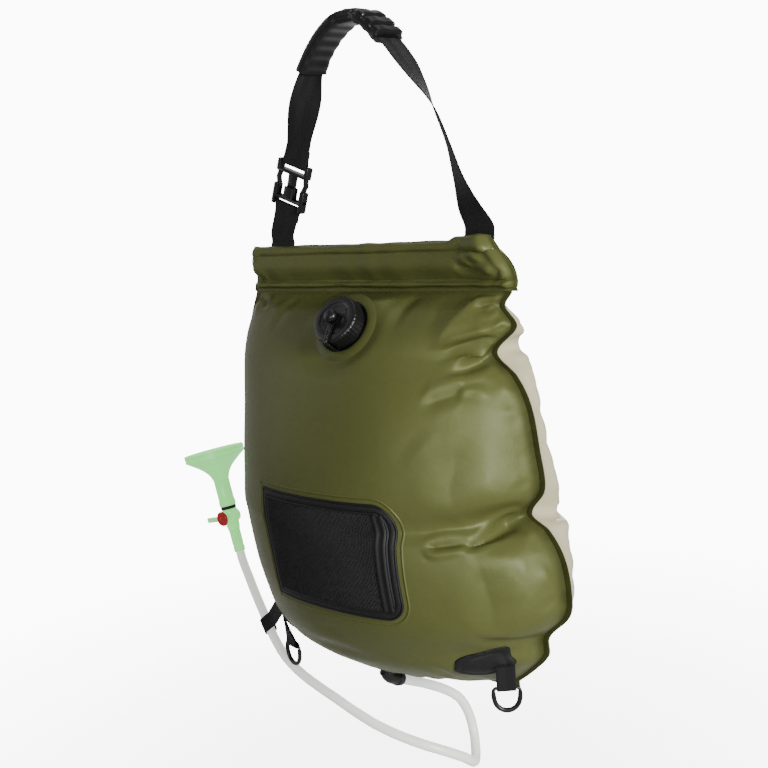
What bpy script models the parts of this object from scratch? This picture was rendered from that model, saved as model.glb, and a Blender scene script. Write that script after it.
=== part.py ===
"""Camp shower bag: a welded two-panel water bag on a webbing carry handle, with a fill cap, a mesh
pocket, two corner rings, and a hose that ends in a shower head with a lever tap.

The origin is the flat underside of the grip, where a branch or a hook carries the bag. +Z is up, the
front of the bag faces -Y and +X is to the right of someone who looks at the front. Metres."""

import math

import bmesh
import bpy
from mathutils import Matrix, Vector
from mathutils.bvhtree import BVHTree

# Driving sizes of the bag
HANDLE_RISE = 0.240  # from the top of the hem up to the underside of the grip
HEM_LENGTH = 0.386
HEM_HEIGHT = 0.054
HEM_HALF_DEPTH = 0.0105
HEM_END_SLANT = 0.030  # how far the right end leans in at the top
PANEL_DROP = 0.438
BELLY_HALF_WIDTH = 0.220
BELLY_FRONT_DEPTH = 0.134
BELLY_BACK_DEPTH = 0.100
PANEL_THICKNESS = 0.0012
SEAM_FLANGE = 0.007
LIP_CLEARANCE = 0.002  # flat length of each panel below the hem, before it swells
FIT_GAP = 0.0003
CUT_OVERRUN = 0.004

# Driving sizes of the bought-in pieces
ROD_RADIUS = 0.0065
WEBBING_WIDTH = 0.038
WEBBING_THICKNESS = 0.0016
TAB_WIDTH = 0.021
TAB_THICKNESS = 0.0016
RING_WIRE_RADIUS = 0.0019
HOSE_RADIUS = 0.006
HOSE_BORE_RADIUS = 0.004

# Resolution
ROUND_STEPS = 24
FINE_STEPS = 32
PANEL_ROWS = 24
PANEL_COLUMNS = 16

# Heights that follow from the driving sizes
HEM_TOP_Z = -HANDLE_RISE
HEM_LIP_Z = HEM_TOP_Z - HEM_HEIGHT
PANEL_TOP_Z = HEM_LIP_Z - LIP_CLEARANCE
PANEL_BOTTOM_Z = PANEL_TOP_Z - PANEL_DROP
SEAM_Y = PANEL_THICKNESS / 2 + FIT_GAP / 2

COLLECTION_NAME = "camp_shower_bag"
CUTTER_COLLECTION_NAME = "cutters"


# Helpers


def clear_scene():
    for old in list(bpy.data.objects):
        bpy.data.objects.remove(old, do_unlink=True)


def new_collection(name):
    collection = bpy.data.collections.new(name)
    bpy.context.scene.collection.children.link(collection)
    return collection


def new_material(name, colour, roughness, metallic=0.0):
    material = bpy.data.materials.new(name)
    material.use_nodes = True
    shader = material.node_tree.nodes["Principled BSDF"]
    shader.inputs["Base Color"].default_value = (*colour, 1.0)
    shader.inputs["Roughness"].default_value = roughness
    shader.inputs["Metallic"].default_value = metallic
    return material


clear_scene()
PARTS = new_collection(COLLECTION_NAME)
CUTTERS = new_collection(CUTTER_COLLECTION_NAME)
CUTTERS.hide_render = True

OLIVE = new_material("olive_coated_fabric", (0.115, 0.120, 0.030), 0.42)
CREAM = new_material("cream_vinyl", (0.62, 0.59, 0.47), 0.30)
WEBBING = new_material("black_webbing", (0.012, 0.012, 0.012), 0.85)
BLACK_PLASTIC = new_material("black_plastic", (0.012, 0.012, 0.012), 0.42)
BLACK_TRIM = new_material("black_welded_trim", (0.014, 0.014, 0.017), 0.50)
BLACK_MESH = new_material("black_mesh", (0.010, 0.010, 0.011), 0.75)
RUBBER = new_material("black_rubber", (0.020, 0.020, 0.020), 0.70)
ROD_PLASTIC = new_material("rod_plastic", (0.70, 0.70, 0.68), 0.45)
MINT = new_material("mint_plastic", (0.42, 0.80, 0.45), 0.35)
RED = new_material("red_plastic", (0.62, 0.02, 0.02), 0.35)
HOSE_VINYL = new_material("milky_hose", (0.78, 0.79, 0.74), 0.30)


def add_object(name, data, material, collection=None):
    made = bpy.data.objects.new(name, data)
    (collection or PARTS).objects.link(made)
    if material is not None:
        data.materials.append(material)
    return made


def finish_mesh(name, bm, material, collection=None):
    bmesh.ops.recalc_face_normals(bm, faces=bm.faces[:])
    mesh = bpy.data.meshes.new(name)
    bm.to_mesh(mesh)
    bm.free()
    return add_object(name, mesh, material, collection)


def evaluated_copy(source, name=None, material=None, collection=None):
    """The object's evaluated mesh as a new object in the same place. The source is removed."""
    bpy.context.view_layer.update()
    graph = bpy.context.evaluated_depsgraph_get()
    mesh = bpy.data.meshes.new_from_object(source.evaluated_get(graph))
    matrix = source.matrix_world.copy()
    name = name or source.name
    material = material or (source.data.materials[0] if source.data.materials else None)
    bpy.data.objects.remove(source, do_unlink=True)
    bm = bmesh.new()
    bm.from_mesh(mesh)
    bmesh.ops.remove_doubles(bm, verts=bm.verts[:], dist=MERGE_DISTANCE)
    bmesh.ops.recalc_face_normals(bm, faces=bm.faces[:])
    bm.to_mesh(mesh)
    bm.free()
    mesh.materials.clear()
    made = add_object(name, mesh, material, collection)
    made.matrix_world = matrix
    return made


MERGE_DISTANCE = 0.00001


def box(name, size, centre, material, rotation=(0, 0, 0), bevel=0.0, collection=None):
    """A block with its size in its mesh, so that a bevel keeps its width."""
    bm = bmesh.new()
    bmesh.ops.create_cube(bm, size=1)
    bmesh.ops.scale(bm, vec=Vector(size), verts=bm.verts[:])
    made = finish_mesh(name, bm, material, collection)
    made.location = centre
    made.rotation_euler = rotation
    if bevel:
        rounded = made.modifiers.new("rounded_edges", "BEVEL")
        rounded.width = bevel
        rounded.segments = 2
    return made


def cylinder(name, radius, length, centre, rotation, material, collection=None, steps=ROUND_STEPS):
    bm = bmesh.new()
    bmesh.ops.create_cone(
        bm, cap_ends=True, segments=steps, radius1=radius, radius2=radius, depth=length
    )
    made = finish_mesh(name, bm, material, collection)
    made.location = centre
    made.rotation_euler = rotation
    return made


def turned(name, profile, material, closed=False, steps=ROUND_STEPS, collection=None):
    """A profile of (radius, height) points, turned about the local Z axis by a Screw modifier."""
    bm = bmesh.new()
    verts = [bm.verts.new((radius, 0, height)) for radius, height in profile]
    for first, second in zip(verts, verts[1:]):
        bm.edges.new((first, second))
    if closed:
        bm.edges.new((verts[-1], verts[0]))
    mesh = bpy.data.meshes.new(name)
    bm.to_mesh(mesh)
    bm.free()
    made = add_object(name, mesh, material, collection)
    screw = made.modifiers.new("turned", "SCREW")
    screw.axis = "Z"
    screw.steps = steps
    screw.render_steps = steps
    screw.use_merge_vertices = True
    screw.merge_threshold = MERGE_DISTANCE
    return evaluated_copy(made, collection=collection)


def flat_outline(name, loops, thickness, material, collection=None):
    """A flat shape in its local XY plane, with holes where one loop lies in another."""
    curve = bpy.data.curves.new(name, "CURVE")
    curve.dimensions = "2D"
    curve.fill_mode = "BOTH"
    curve.extrude = thickness / 2
    for loop in loops:
        spline = curve.splines.new("POLY")
        spline.points.add(len(loop) - 1)
        for point, (x, y) in zip(spline.points, loop):
            point.co = (x, y, 0, 1)
        spline.use_cyclic_u = True
    return evaluated_copy(add_object(name, curve, material, collection), collection=collection)


def tube(name, points, radius, material, cyclic=False, resolution=2):
    curve = bpy.data.curves.new(name, "CURVE")
    curve.dimensions = "3D"
    curve.bevel_depth = radius
    curve.bevel_resolution = resolution
    curve.use_fill_caps = not cyclic
    spline = curve.splines.new("POLY")
    spline.points.add(len(points) - 1)
    for point, place in zip(spline.points, points):
        point.co = (*place, 1)
    spline.use_cyclic_u = cyclic
    return add_object(name, curve, material)


def loft(name, rings, material, cyclic=False):
    """Rings of equal counts joined by faces, with an end face on each end of an open loft."""
    bm = bmesh.new()
    made = [[bm.verts.new(place) for place in ring] for ring in rings]
    pairs = list(zip(made, made[1:]))
    if cyclic:
        pairs.append((made[-1], made[0]))
    for first, second in pairs:
        for index in range(len(first)):
            following = (index + 1) % len(first)
            bm.faces.new((first[index], first[following], second[following], second[index]))
    if not cyclic:
        bm.faces.new(made[0])
        bm.faces.new(made[-1])
    return finish_mesh(name, bm, material)


def boolean(target, tool, operation):
    cut = target.modifiers.new(operation.lower(), "BOOLEAN")
    cut.operation = operation
    cut.solver = "EXACT"
    cut.object = tool
    tool.hide_render = True
    tool.display_type = "WIRE"
    return target


def joined(name, first, others, material):
    """One body made of the first solid and the others."""
    for other in others:
        boolean(first, other, "UNION")
    made = evaluated_copy(first, name, material)
    for other in others:
        bpy.data.objects.remove(other, do_unlink=True)
    return made


def smooth_value(table, share):
    """The value at a share in a table of (share, value) rows, on a smooth curve through the rows."""
    last = len(table) - 1
    index = 0
    while index < last - 1 and share > table[index + 1][0]:
        index += 1
    slopes = []
    for row in (index, index + 1):
        before = table[max(row - 1, 0)]
        after = table[min(row + 1, last)]
        slopes.append((after[1] - before[1]) / (after[0] - before[0]))
    width = table[index + 1][0] - table[index][0]
    part = min(max((share - table[index][0]) / width, 0), 1)
    rest = 1 - part
    return (
        table[index][1] * (1 + 2 * part) * rest**2
        + width * slopes[0] * part * rest**2
        + table[index + 1][1] * part**2 * (3 - 2 * part)
        - width * slopes[1] * part**2 * rest
    )


def smooth_route(points, pieces, start_run=None, end_run=None):
    """Points on a smooth curve through the given ones, with this many pieces in each span.

    A run is the direction in which the curve sets out or arrives."""
    before_start = points[0] * 2 - points[1]
    after_end = points[-1] * 2 - points[-2]
    if start_run is not None:
        before_start = points[1] - start_run * 2 * (points[1] - points[0]).length
    if end_run is not None:
        after_end = points[-2] + end_run * 2 * (points[-1] - points[-2]).length
    ends = [before_start, *points, after_end]
    route = []
    for index in range(1, len(ends) - 2):
        before, here, after, beyond = ends[index - 1 : index + 3]
        for step in range(pieces):
            t = step / pieces
            route.append(
                (
                    here * 2
                    + (after - before) * t
                    + (before * 2 - here * 5 + after * 4 - beyond) * t**2
                    + (here * 3 - before - after * 3 + beyond) * t**3
                )
                / 2
            )
    route.append(points[-1])
    return route


# Shape of the filled bag, as shares of its height, half width and depths

FRONT_DEPTH_SHARES = (
    (0, 0), (0.015, 0.09), (0.04, 0.28), (0.1, 0.49), (0.2, 0.73), (0.35, 0.91), (0.5, 0.99),
    (0.65, 1.0), (0.8, 0.95), (0.9, 0.80), (0.96, 0.58), (0.99, 0.32), (1, 0),
)
BACK_DEPTH_SHARES = (
    (0, 0), (0.015, 0.10), (0.04, 0.32), (0.1, 0.55), (0.2, 0.76), (0.35, 0.92), (0.5, 1.0),
    (0.7, 1.0), (0.85, 0.88), (0.95, 0.58), (0.99, 0.28), (1, 0),
)
LEFT_WIDTH_SHARES = (
    (0, 0.875), (0.06, 0.93), (0.12, 0.965), (0.3, 0.965), (0.5, 0.97), (0.7, 0.945), (0.82, 0.89),
    (0.9, 0.83), (1, 0.72),
)
RIGHT_WIDTH_SHARES = (
    (0, 0.84), (0.03, 0.80), (0.08, 0.86), (0.145, 0.74), (0.2, 0.845), (0.27, 0.915), (0.38, 0.95),
    (0.48, 0.965), (0.545, 0.885), (0.58, 0.98), (0.65, 1.06), (0.75, 1.085), (0.8, 1.06),
    (0.86, 0.945), (0.91, 0.935), (0.96, 0.845), (1, 0.75),
)
BULGE_EDGE_POWER = 2.3
BULGE_CROWN_POWER = 0.62

# The fill valve sits in a flattened patch of the front panel that faces up and forward

VALVE_DROP = 0.034  # from the hem's lower lip down to the valve's centre
VALVE_LEAN = math.radians(35)
VALVE_SIDE = 0.0
VALVE_FLANGE_RADIUS = 0.037
VALVE_FLAT_RADIUS = 0.041
VALVE_BLEND_RADIUS = 0.070
VALVE_FADE_DROP = 0.006  # the flattening starts over this drop below the hem


def height_share(z):
    return (PANEL_TOP_Z - z) / PANEL_DROP


def half_widths(share):
    left = BELLY_HALF_WIDTH * smooth_value(LEFT_WIDTH_SHARES, share)
    right = BELLY_HALF_WIDTH * smooth_value(RIGHT_WIDTH_SHARES, share)
    return left - SEAM_FLANGE, right - SEAM_FLANGE


def bulge(x, share, depth, depth_shares):
    left, right = half_widths(share)
    across = min(abs((2 * x + left - right) / (left + right)), 1)
    crown = (1 - across**BULGE_EDGE_POWER) ** BULGE_CROWN_POWER
    return depth * smooth_value(depth_shares, share) * crown


def plain_front_y(x, z):
    return -SEAM_Y - bulge(x, height_share(z), BELLY_FRONT_DEPTH, FRONT_DEPTH_SHARES)


VALVE_Z = HEM_LIP_Z - VALVE_DROP
VALVE_Y = plain_front_y(VALVE_SIDE, VALVE_Z)


def eased(share):
    """A share held within 0 and 1, with a gentle start and end."""
    share = min(max(share, 0), 1)
    return share * share * (3 - 2 * share)


def front_y(x, z):
    """Depth of the front panel's middle surface, flattened round the fill valve."""
    plane_y = VALVE_Y + (z - VALVE_Z) * math.tan(VALVE_LEAN)
    reach = math.hypot(x - VALVE_SIDE, (z - VALVE_Z) / math.cos(VALVE_LEAN))
    share = (VALVE_BLEND_RADIUS - reach) / (VALVE_BLEND_RADIUS - VALVE_FLAT_RADIUS)
    weight = eased(share) * eased((PANEL_TOP_Z - z) / VALVE_FADE_DROP)
    plain = plain_front_y(x, z)
    flat = min(plane_y, -SEAM_Y)
    return plain + (flat - plain) * weight


def back_y(x, z):
    return SEAM_Y + bulge(x, height_share(z), BELLY_BACK_DEPTH, BACK_DEPTH_SHARES)


SLOPE_STEP = 0.002


def front_normal(x, z):
    """Outward direction of the front panel there."""
    across = (front_y(x + SLOPE_STEP, z) - front_y(x - SLOPE_STEP, z)) / (2 * SLOPE_STEP)
    down = (front_y(x, z + SLOPE_STEP) - front_y(x, z - SLOPE_STEP)) / (2 * SLOPE_STEP)
    return Vector((across, -1, down)).normalized()


# The two welded panels

PANEL_TUCK = 0.010  # how far each panel runs up inside the hem
BOTTOM_FLANGE = 0.008


def panel_row(z, left, right, surface_y, side):
    row = [(-left - SEAM_FLANGE, side * SEAM_Y, z)]
    for step in range(PANEL_COLUMNS + 1):
        across = math.sin(math.pi * (step / PANEL_COLUMNS - 1 / 2))
        x = (right - left) / 2 + (right + left) / 2 * across
        row.append((x, surface_y(x, z), z))
    row.append((right + SEAM_FLANGE, side * SEAM_Y, z))
    return row


def panel_grid(surface_y, side):
    """Rows from the hem down to the bottom weld. Each row runs from the left weld to the right one."""
    rows = []
    left, right = half_widths(0)
    for z in (HEM_LIP_Z + PANEL_TUCK, HEM_LIP_Z + PANEL_TUCK / 2):
        rows.append(panel_row(z, left, right, lambda x, height: side * SEAM_Y, side))
    for step in range(PANEL_ROWS + 1):
        share = (1 - math.cos(math.pi * step / PANEL_ROWS)) / 2
        z = PANEL_TOP_Z - PANEL_DROP * share
        left, right = half_widths(share)
        rows.append(panel_row(z, left, right, surface_y, side))
    low = PANEL_BOTTOM_Z - BOTTOM_FLANGE
    rows.append(panel_row(low, left, right, lambda x, height: side * SEAM_Y, side))
    return rows


def panel_bmesh(surface_y, side):
    """The panel's middle surface with its faces outward."""
    bm = bmesh.new()
    rows = [[bm.verts.new(place) for place in row] for row in panel_grid(surface_y, side)]
    for upper, lower in zip(rows, rows[1:]):
        for index in range(len(upper) - 1):
            corners = [upper[index], upper[index + 1], lower[index + 1], lower[index]]
            bm.faces.new(corners if side > 0 else corners[::-1])
    bmesh.ops.triangulate(bm, faces=bm.faces[:], quad_method="SHORT_EDGE")
    bm.normal_update()
    return bm


def make_panel(name, surface_y, side, material):
    panel = finish_mesh(name, panel_bmesh(surface_y, side), material)
    wall = panel.modifiers.new("wall", "SOLIDIFY")
    wall.thickness = PANEL_THICKNESS
    wall.offset = 0
    wall.use_even_offset = False
    return panel


front_panel = make_panel("front_panel", front_y, -1, OLIVE)
back_panel = make_panel("back_panel", back_y, 1, CREAM)
FRONT_BMESH = panel_bmesh(front_y, -1)
FRONT_TREE = BVHTree.FromBMesh(FRONT_BMESH)
VIEW_DISTANCE = 1.0


def on_front(x, z, lift):
    """A point this far outside the front panel's middle surface."""
    place = FRONT_TREE.ray_cast(Vector((x, -VIEW_DISTANCE, z)), Vector((0, 1, 0)))[0]
    return place + front_normal(x, z) * lift


def above_front(x, z, lift):
    """A point this far outside the front panel that keeps its place in the front view."""
    place = FRONT_TREE.ray_cast(Vector((x, -VIEW_DISTANCE, z)), Vector((0, 1, 0)))[0]
    return place + Vector((0, lift / front_normal(x, z).y, 0))


def front_skin(name, lift, thickness, prism, material):
    """The piece of a layer that lies this far outside the front panel and inside the prism."""
    bm = FRONT_BMESH.copy()
    places = [vert.co + vert.normal * lift for vert in bm.verts]
    for vert, place in zip(bm.verts, places):
        vert.co = place
    skin = finish_mesh(name, bm, material)
    wall = skin.modifiers.new("wall", "SOLIDIFY")
    wall.thickness = thickness
    wall.offset = 0
    wall.use_even_offset = False
    boolean(skin, prism, "INTERSECT")
    made = evaluated_copy(skin, name, material)
    bpy.data.objects.remove(prism, do_unlink=True)
    return made


# Hem sleeve with its bead and its ridge, and the rod inside it

SLEEVE_WALL = 0.0012
LIP_Y = SEAM_Y + PANEL_THICKNESS / 2 + FIT_GAP + SLEEVE_WALL / 2
ROD_DROP_SHARE = 0.27
ROD_Z = HEM_TOP_Z - HEM_HEIGHT * ROD_DROP_SHARE
LIP_TOP_SHARE = 0.08
HEM_FACE_SHARES = (
    (0.60, 0.15), (0.72, 0.21), (0.66, 0.27), (0.42, 0.34), (0.60, 0.41), (0.90, 0.47), (0.97, 0.56),
    (1.0, 0.70), (0.97, 0.84), (0.70, 0.95), (0, 1.0),
)
HEM_COLUMNS = 6
ROD_END_SETBACK = 0.004
ANCHOR_INSET = 0.048  # from each end of the hem to the webbing's middle
ANCHOR_X = HEM_LENGTH / 2 - ANCHOR_INSET
SLOT_PLAY = 0.002  # webbing slots are wider than the webbing by this
SLOT_WIDTH = WEBBING_WIDTH + SLOT_PLAY


def hem_profile():
    """(y, z) points from the front lip over the top to the back lip."""
    front = [(-LIP_Y, HEM_LIP_Z), (-LIP_Y, HEM_LIP_Z + HEM_HEIGHT * LIP_TOP_SHARE)]
    for depth_share, rise_share in HEM_FACE_SHARES:
        front.append((-HEM_HALF_DEPTH * depth_share, HEM_LIP_Z + HEM_HEIGHT * rise_share))
    back = [(-y, z) for y, z in reversed(front[:-1])]
    return front + back


def make_hem_sleeve():
    bm = bmesh.new()
    columns = []
    for step in range(HEM_COLUMNS + 1):
        column = []
        for y, z in hem_profile():
            rise = (z - HEM_LIP_Z) / HEM_HEIGHT
            right = HEM_LENGTH / 2 - HEM_END_SLANT * rise
            x = -HEM_LENGTH / 2 + (right + HEM_LENGTH / 2) * step / HEM_COLUMNS
            column.append(bm.verts.new((x, y, z)))
        columns.append(column)
    for first, second in zip(columns, columns[1:]):
        for index in range(len(first) - 1):
            bm.faces.new((first[index], first[index + 1], second[index + 1], second[index]))
    sleeve = finish_mesh("hem_sleeve", bm, OLIVE)
    wall = sleeve.modifiers.new("wall", "SOLIDIFY")
    wall.thickness = SLEEVE_WALL
    wall.offset = 0
    for side in (-1, 1):
        slot_depth = HEM_HALF_DEPTH + CUT_OVERRUN
        slot_height = HEM_TOP_Z - ROD_Z + 2 * CUT_OVERRUN
        slot = box(
            "slot_cutter",
            (SLOT_WIDTH, slot_depth, slot_height),
            (side * ANCHOR_X, slot_depth / 2, ROD_Z + slot_height / 2),
            None,
            collection=CUTTERS,
        )
        boolean(sleeve, slot, "DIFFERENCE")
    return sleeve


hem_sleeve = make_hem_sleeve()
ROD_END_LEAN = HEM_END_SLANT * (1 - ROD_DROP_SHARE)
ROD_LENGTH = HEM_LENGTH - ROD_END_LEAN - 2 * ROD_END_SETBACK
support_rod = cylinder(
    "support_rod",
    ROD_RADIUS,
    ROD_LENGTH,
    (-ROD_END_LEAN / 2, 0, ROD_Z),
    (0, math.pi / 2, 0),
    ROD_PLASTIC,
)

# Webbing loops: a flat double ply that ends in a round loop

LOOP_OPENING = math.radians(120)  # of the round loop, where its double ply leaves it


def loop_outline(hole_radius, thickness, reach):
    """Outer and inner loops: a ring round the origin whose ends meet in a double ply up +Y."""
    outer_radius = hole_radius + thickness
    start = (math.pi + LOOP_OPENING) / 2
    turn = 2 * math.pi - LOOP_OPENING
    outer = []
    for step in range(ROUND_STEPS // 2 + 1):
        angle = start + turn * step / (ROUND_STEPS // 2)
        outer.append((outer_radius * math.cos(angle), outer_radius * math.sin(angle)))
    outer.append((thickness, reach))
    outer.append((-thickness, reach))
    inner = []
    for step in range(ROUND_STEPS // 2):
        angle = 2 * math.pi * step / (ROUND_STEPS // 2)
        inner.append((hole_radius * math.cos(angle), hole_radius * math.sin(angle)))
    return [outer, inner]


def frame_matrix(origin, x_axis, y_axis, z_axis):
    matrix = Matrix.Identity(4)
    for column, axis in enumerate((x_axis, y_axis, z_axis)):
        for row in range(3):
            matrix[row][column] = axis[row]
    matrix.translation = origin
    return matrix


def loop_tab(
    name, hole_radius, thickness, width, start, end, bar_axis, material, end_axis=None, level_end=False
):
    """A webbing loop round a bar at start, whose plies run to end.

    Its width lies along the bar, and along the end axis, if there is one, at its far end. A level end
    is cut square to Z, not to the plies."""
    across = Vector(bar_axis).normalized()
    span = Vector(end) - Vector(start)
    span -= across * span.dot(across)
    reach = span.length
    along = span.normalized()
    side = along.cross(across).normalized()
    made = flat_outline(name, loop_outline(hole_radius, thickness, reach), width, material)
    end_verts = [vert for vert in made.data.vertices if vert.co.y > reach - thickness]
    if end_axis is not None:
        twist = Matrix.Rotation(math.atan2(end_axis.dot(side), end_axis.dot(across)), 3, "Y")
        for vert in end_verts:
            vert.co = twist @ vert.co
    if level_end:
        for vert in end_verts:
            vert.co.y -= vert.co.x * side.z / along.z
    made.matrix_world = frame_matrix(Vector(start), side, along, across)
    return made


X_AXIS = Vector((1, 0, 0))

# The handle folds where its webbing leaves the hem

FOLD_Y = 0.006
FOLD_RISE = 0.006
FOLD_Z = HEM_TOP_Z + FOLD_RISE
FOLD_STRAP_GAP = 0.00005  # from the fold's axis up to the carry webbing's end
FOLD_CLEARANCE = 0.0001  # between the webbing folded flat and the anchor's end
FOLD_ANCHOR_GAP = WEBBING_THICKNESS / 2 + FOLD_CLEARANCE
LOOP_HOLE_RADIUS = ROD_RADIUS + FIT_GAP

for side_name, side in (("left", -1), ("right", 1)):
    loop_tab(
        "strap_anchor_" + side_name,
        LOOP_HOLE_RADIUS,
        WEBBING_THICKNESS,
        WEBBING_WIDTH,
        (side * ANCHOR_X, 0, ROD_Z),
        (side * ANCHOR_X, FOLD_Y, FOLD_Z - FOLD_ANCHOR_GAP),
        X_AXIS,
        WEBBING,
        level_end=True,
    )

# Carry handle: the webbing's route as shares of the anchor spacing and of the rise

GRIP_HALF_THICKNESS = 0.0080
GRIP_HALF_WIDTH = 0.0215
GRIP_SLOT_HALF_WIDTH = WEBBING_WIDTH / 2 + FIT_GAP
GRIP_SLOT_HALF_HEIGHT = WEBBING_THICKNESS / 2 + FIT_GAP
GRIP_CORNER_SHARE = 0.45
STRAP_RISE = HANDLE_RISE - FOLD_RISE + GRIP_HALF_THICKNESS
STRAP_TURN_RISE = 0.010  # straight webbing above each fold
REST_HALF_LENGTH = 0.0055  # the flat that rests on a hook, on each side of the middle
REST_END = 0.0068
REST_BLEND_LENGTH = 0.0028  # webbing from the rest's end to the grip's first station beyond it
RIGHT_ROUTE_SHARES = (
    (0.925, 0.13), (0.848, 0.26), (0.79, 0.39), (0.717, 0.511), (0.64, 0.61), (0.545, 0.70),
    (0.45, 0.785), (0.345, 0.865), (0.19, 0.962),
)
LEFT_ROUTE_SHARES = (
    (-0.20, 0.965), (-0.331, 0.905), (-0.43, 0.84), (-0.517, 0.755), (-0.60, 0.63), (-0.655, 0.54),
    (-0.705, 0.465),
)
BUCKLE_TOP_SHARE = (-0.766, 0.3835)
BUCKLE_FOOT_SHARE = (-0.903, 0.165)
GRIP_RIGHT_LENGTH = 0.058  # along the webbing, from the middle to the grip's right end
GRIP_LEFT_LENGTH = 0.090
RIGHT_BLOCK_SHARES = ((0.34, 0.50), (0.58, 0.74), (0.82, 0.96))
LEFT_BLOCK_SHARES = ((0.28, 0.42), (0.50, 0.64), (0.72, 0.86))
BLOCK_RISE = 0.0016
BLOCK_SLOPE_LENGTH = 0.0010
STRAP_STEP = 0.0075
RUN_REACH = 0.004  # the webbing's direction is read over this length each way
ROUTE_PIECES = 6


def strap_point(x_share, rise_share):
    return Vector((ANCHOR_X * x_share, FOLD_Y * (1 - rise_share), FOLD_Z + STRAP_RISE * rise_share))


# Side-release buckle, in its own frame: Z up its axis from the lower bar, X across, Y to the back

BUCKLE_WIDTH = 0.050
BUCKLE_THICKNESS = 0.0104
BUCKLE_CORNER = 0.0014
BUCKLE_BAR_RADIUS = 0.0017
BUCKLE_BAR_INSET = 0.0025  # from each end of the buckle to the bar's centre
BUCKLE_OPENING_WIDTH = WEBBING_WIDTH + SLOT_PLAY
MALE_HEIGHT = 0.0150
MALE_BRIDGE_HEIGHT = 0.0045
FEMALE_HEIGHT = 0.0260
FEMALE_WALL = 0.0018
FEMALE_OPENING_HEIGHT = 0.0090
NECK_HEIGHT = 0.0150
TONGUE_WIDTH = 0.0120
TONGUE_THICKNESS = 0.0044
ARM_WIDTH = 0.0046
ARM_THICKNESS = 0.0056
FEMALE_FOOT = -BUCKLE_BAR_INSET
FEMALE_TOP = FEMALE_FOOT + FEMALE_HEIGHT
CAVITY_FOOT = FEMALE_FOOT + FEMALE_OPENING_HEIGHT + FEMALE_WALL
MALE_FOOT = FEMALE_TOP + NECK_HEIGHT
MALE_TOP = MALE_FOOT + MALE_HEIGHT
MALE_BAR_Z = MALE_TOP - BUCKLE_BAR_INSET

BUCKLE_FOOT = strap_point(*BUCKLE_FOOT_SHARE)
BUCKLE_AXIS = strap_point(*BUCKLE_TOP_SHARE) - BUCKLE_FOOT
BUCKLE_AXIS.y = 0
BUCKLE_AXIS.normalize()
BUCKLE_SIDE = Vector((0, 1, 0)).cross(BUCKLE_AXIS).normalized()
BUCKLE_MATRIX = frame_matrix(
    BUCKLE_FOOT + BUCKLE_AXIS * BUCKLE_BAR_INSET, BUCKLE_SIDE, Vector((0, 1, 0)), BUCKLE_AXIS
)


def in_frame(made, matrix):
    """Places an object that was built in a frame of its own."""
    bpy.context.view_layer.update()
    made.matrix_world = matrix @ made.matrix_world
    return made


def cutter_box(size, centre):
    return box("cutter", size, centre, None, collection=CUTTERS)


def make_buckle_female():
    body = box(
        "female_body",
        (BUCKLE_WIDTH, BUCKLE_THICKNESS, FEMALE_HEIGHT),
        (0, 0, (FEMALE_FOOT + FEMALE_TOP) / 2),
        BLACK_PLASTIC,
        bevel=BUCKLE_CORNER,
    )
    deep = BUCKLE_THICKNESS + 2 * CUT_OVERRUN
    opening_top = FEMALE_FOOT + FEMALE_OPENING_HEIGHT
    opening_foot = FEMALE_FOOT - CUT_OVERRUN
    boolean(
        body,
        cutter_box(
            (BUCKLE_OPENING_WIDTH, deep, opening_top - opening_foot),
            (0, 0, (opening_top + opening_foot) / 2),
        ),
        "DIFFERENCE",
    )
    cavity_top = FEMALE_TOP + CUT_OVERRUN
    boolean(
        body,
        cutter_box(
            (
                BUCKLE_WIDTH - 2 * FEMALE_WALL,
                BUCKLE_THICKNESS - 2 * FEMALE_WALL,
                cavity_top - CAVITY_FOOT,
            ),
            (0, 0, (cavity_top + CAVITY_FOOT) / 2),
        ),
        "DIFFERENCE",
    )
    window_top = FEMALE_TOP - 2 * FEMALE_WALL
    boolean(
        body,
        cutter_box(
            (
                BUCKLE_WIDTH + 2 * CUT_OVERRUN,
                BUCKLE_THICKNESS - 2 * FEMALE_WALL,
                window_top - CAVITY_FOOT,
            ),
            (0, 0, (window_top + CAVITY_FOOT) / 2),
        ),
        "DIFFERENCE",
    )
    face_inner = TONGUE_WIDTH / 2 + FEMALE_WALL / 2
    face_outer = BUCKLE_WIDTH / 2 - ARM_WIDTH - FEMALE_WALL
    for side in (-1, 1):
        boolean(
            body,
            cutter_box(
                (face_outer - face_inner, deep, cavity_top - (CAVITY_FOOT + FEMALE_WALL)),
                (
                    side * (face_outer + face_inner) / 2,
                    0,
                    (cavity_top + CAVITY_FOOT + FEMALE_WALL) / 2,
                ),
            ),
            "DIFFERENCE",
        )
    bar = cylinder(
        "female_bar",
        BUCKLE_BAR_RADIUS,
        BUCKLE_WIDTH - 2 * BUCKLE_CORNER,
        (0, 0, 0),
        (0, math.pi / 2, 0),
        BLACK_PLASTIC,
        steps=ROUND_STEPS // 2,
    )
    return in_frame(joined("buckle_female", body, [bar], BLACK_PLASTIC), BUCKLE_MATRIX)


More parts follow.
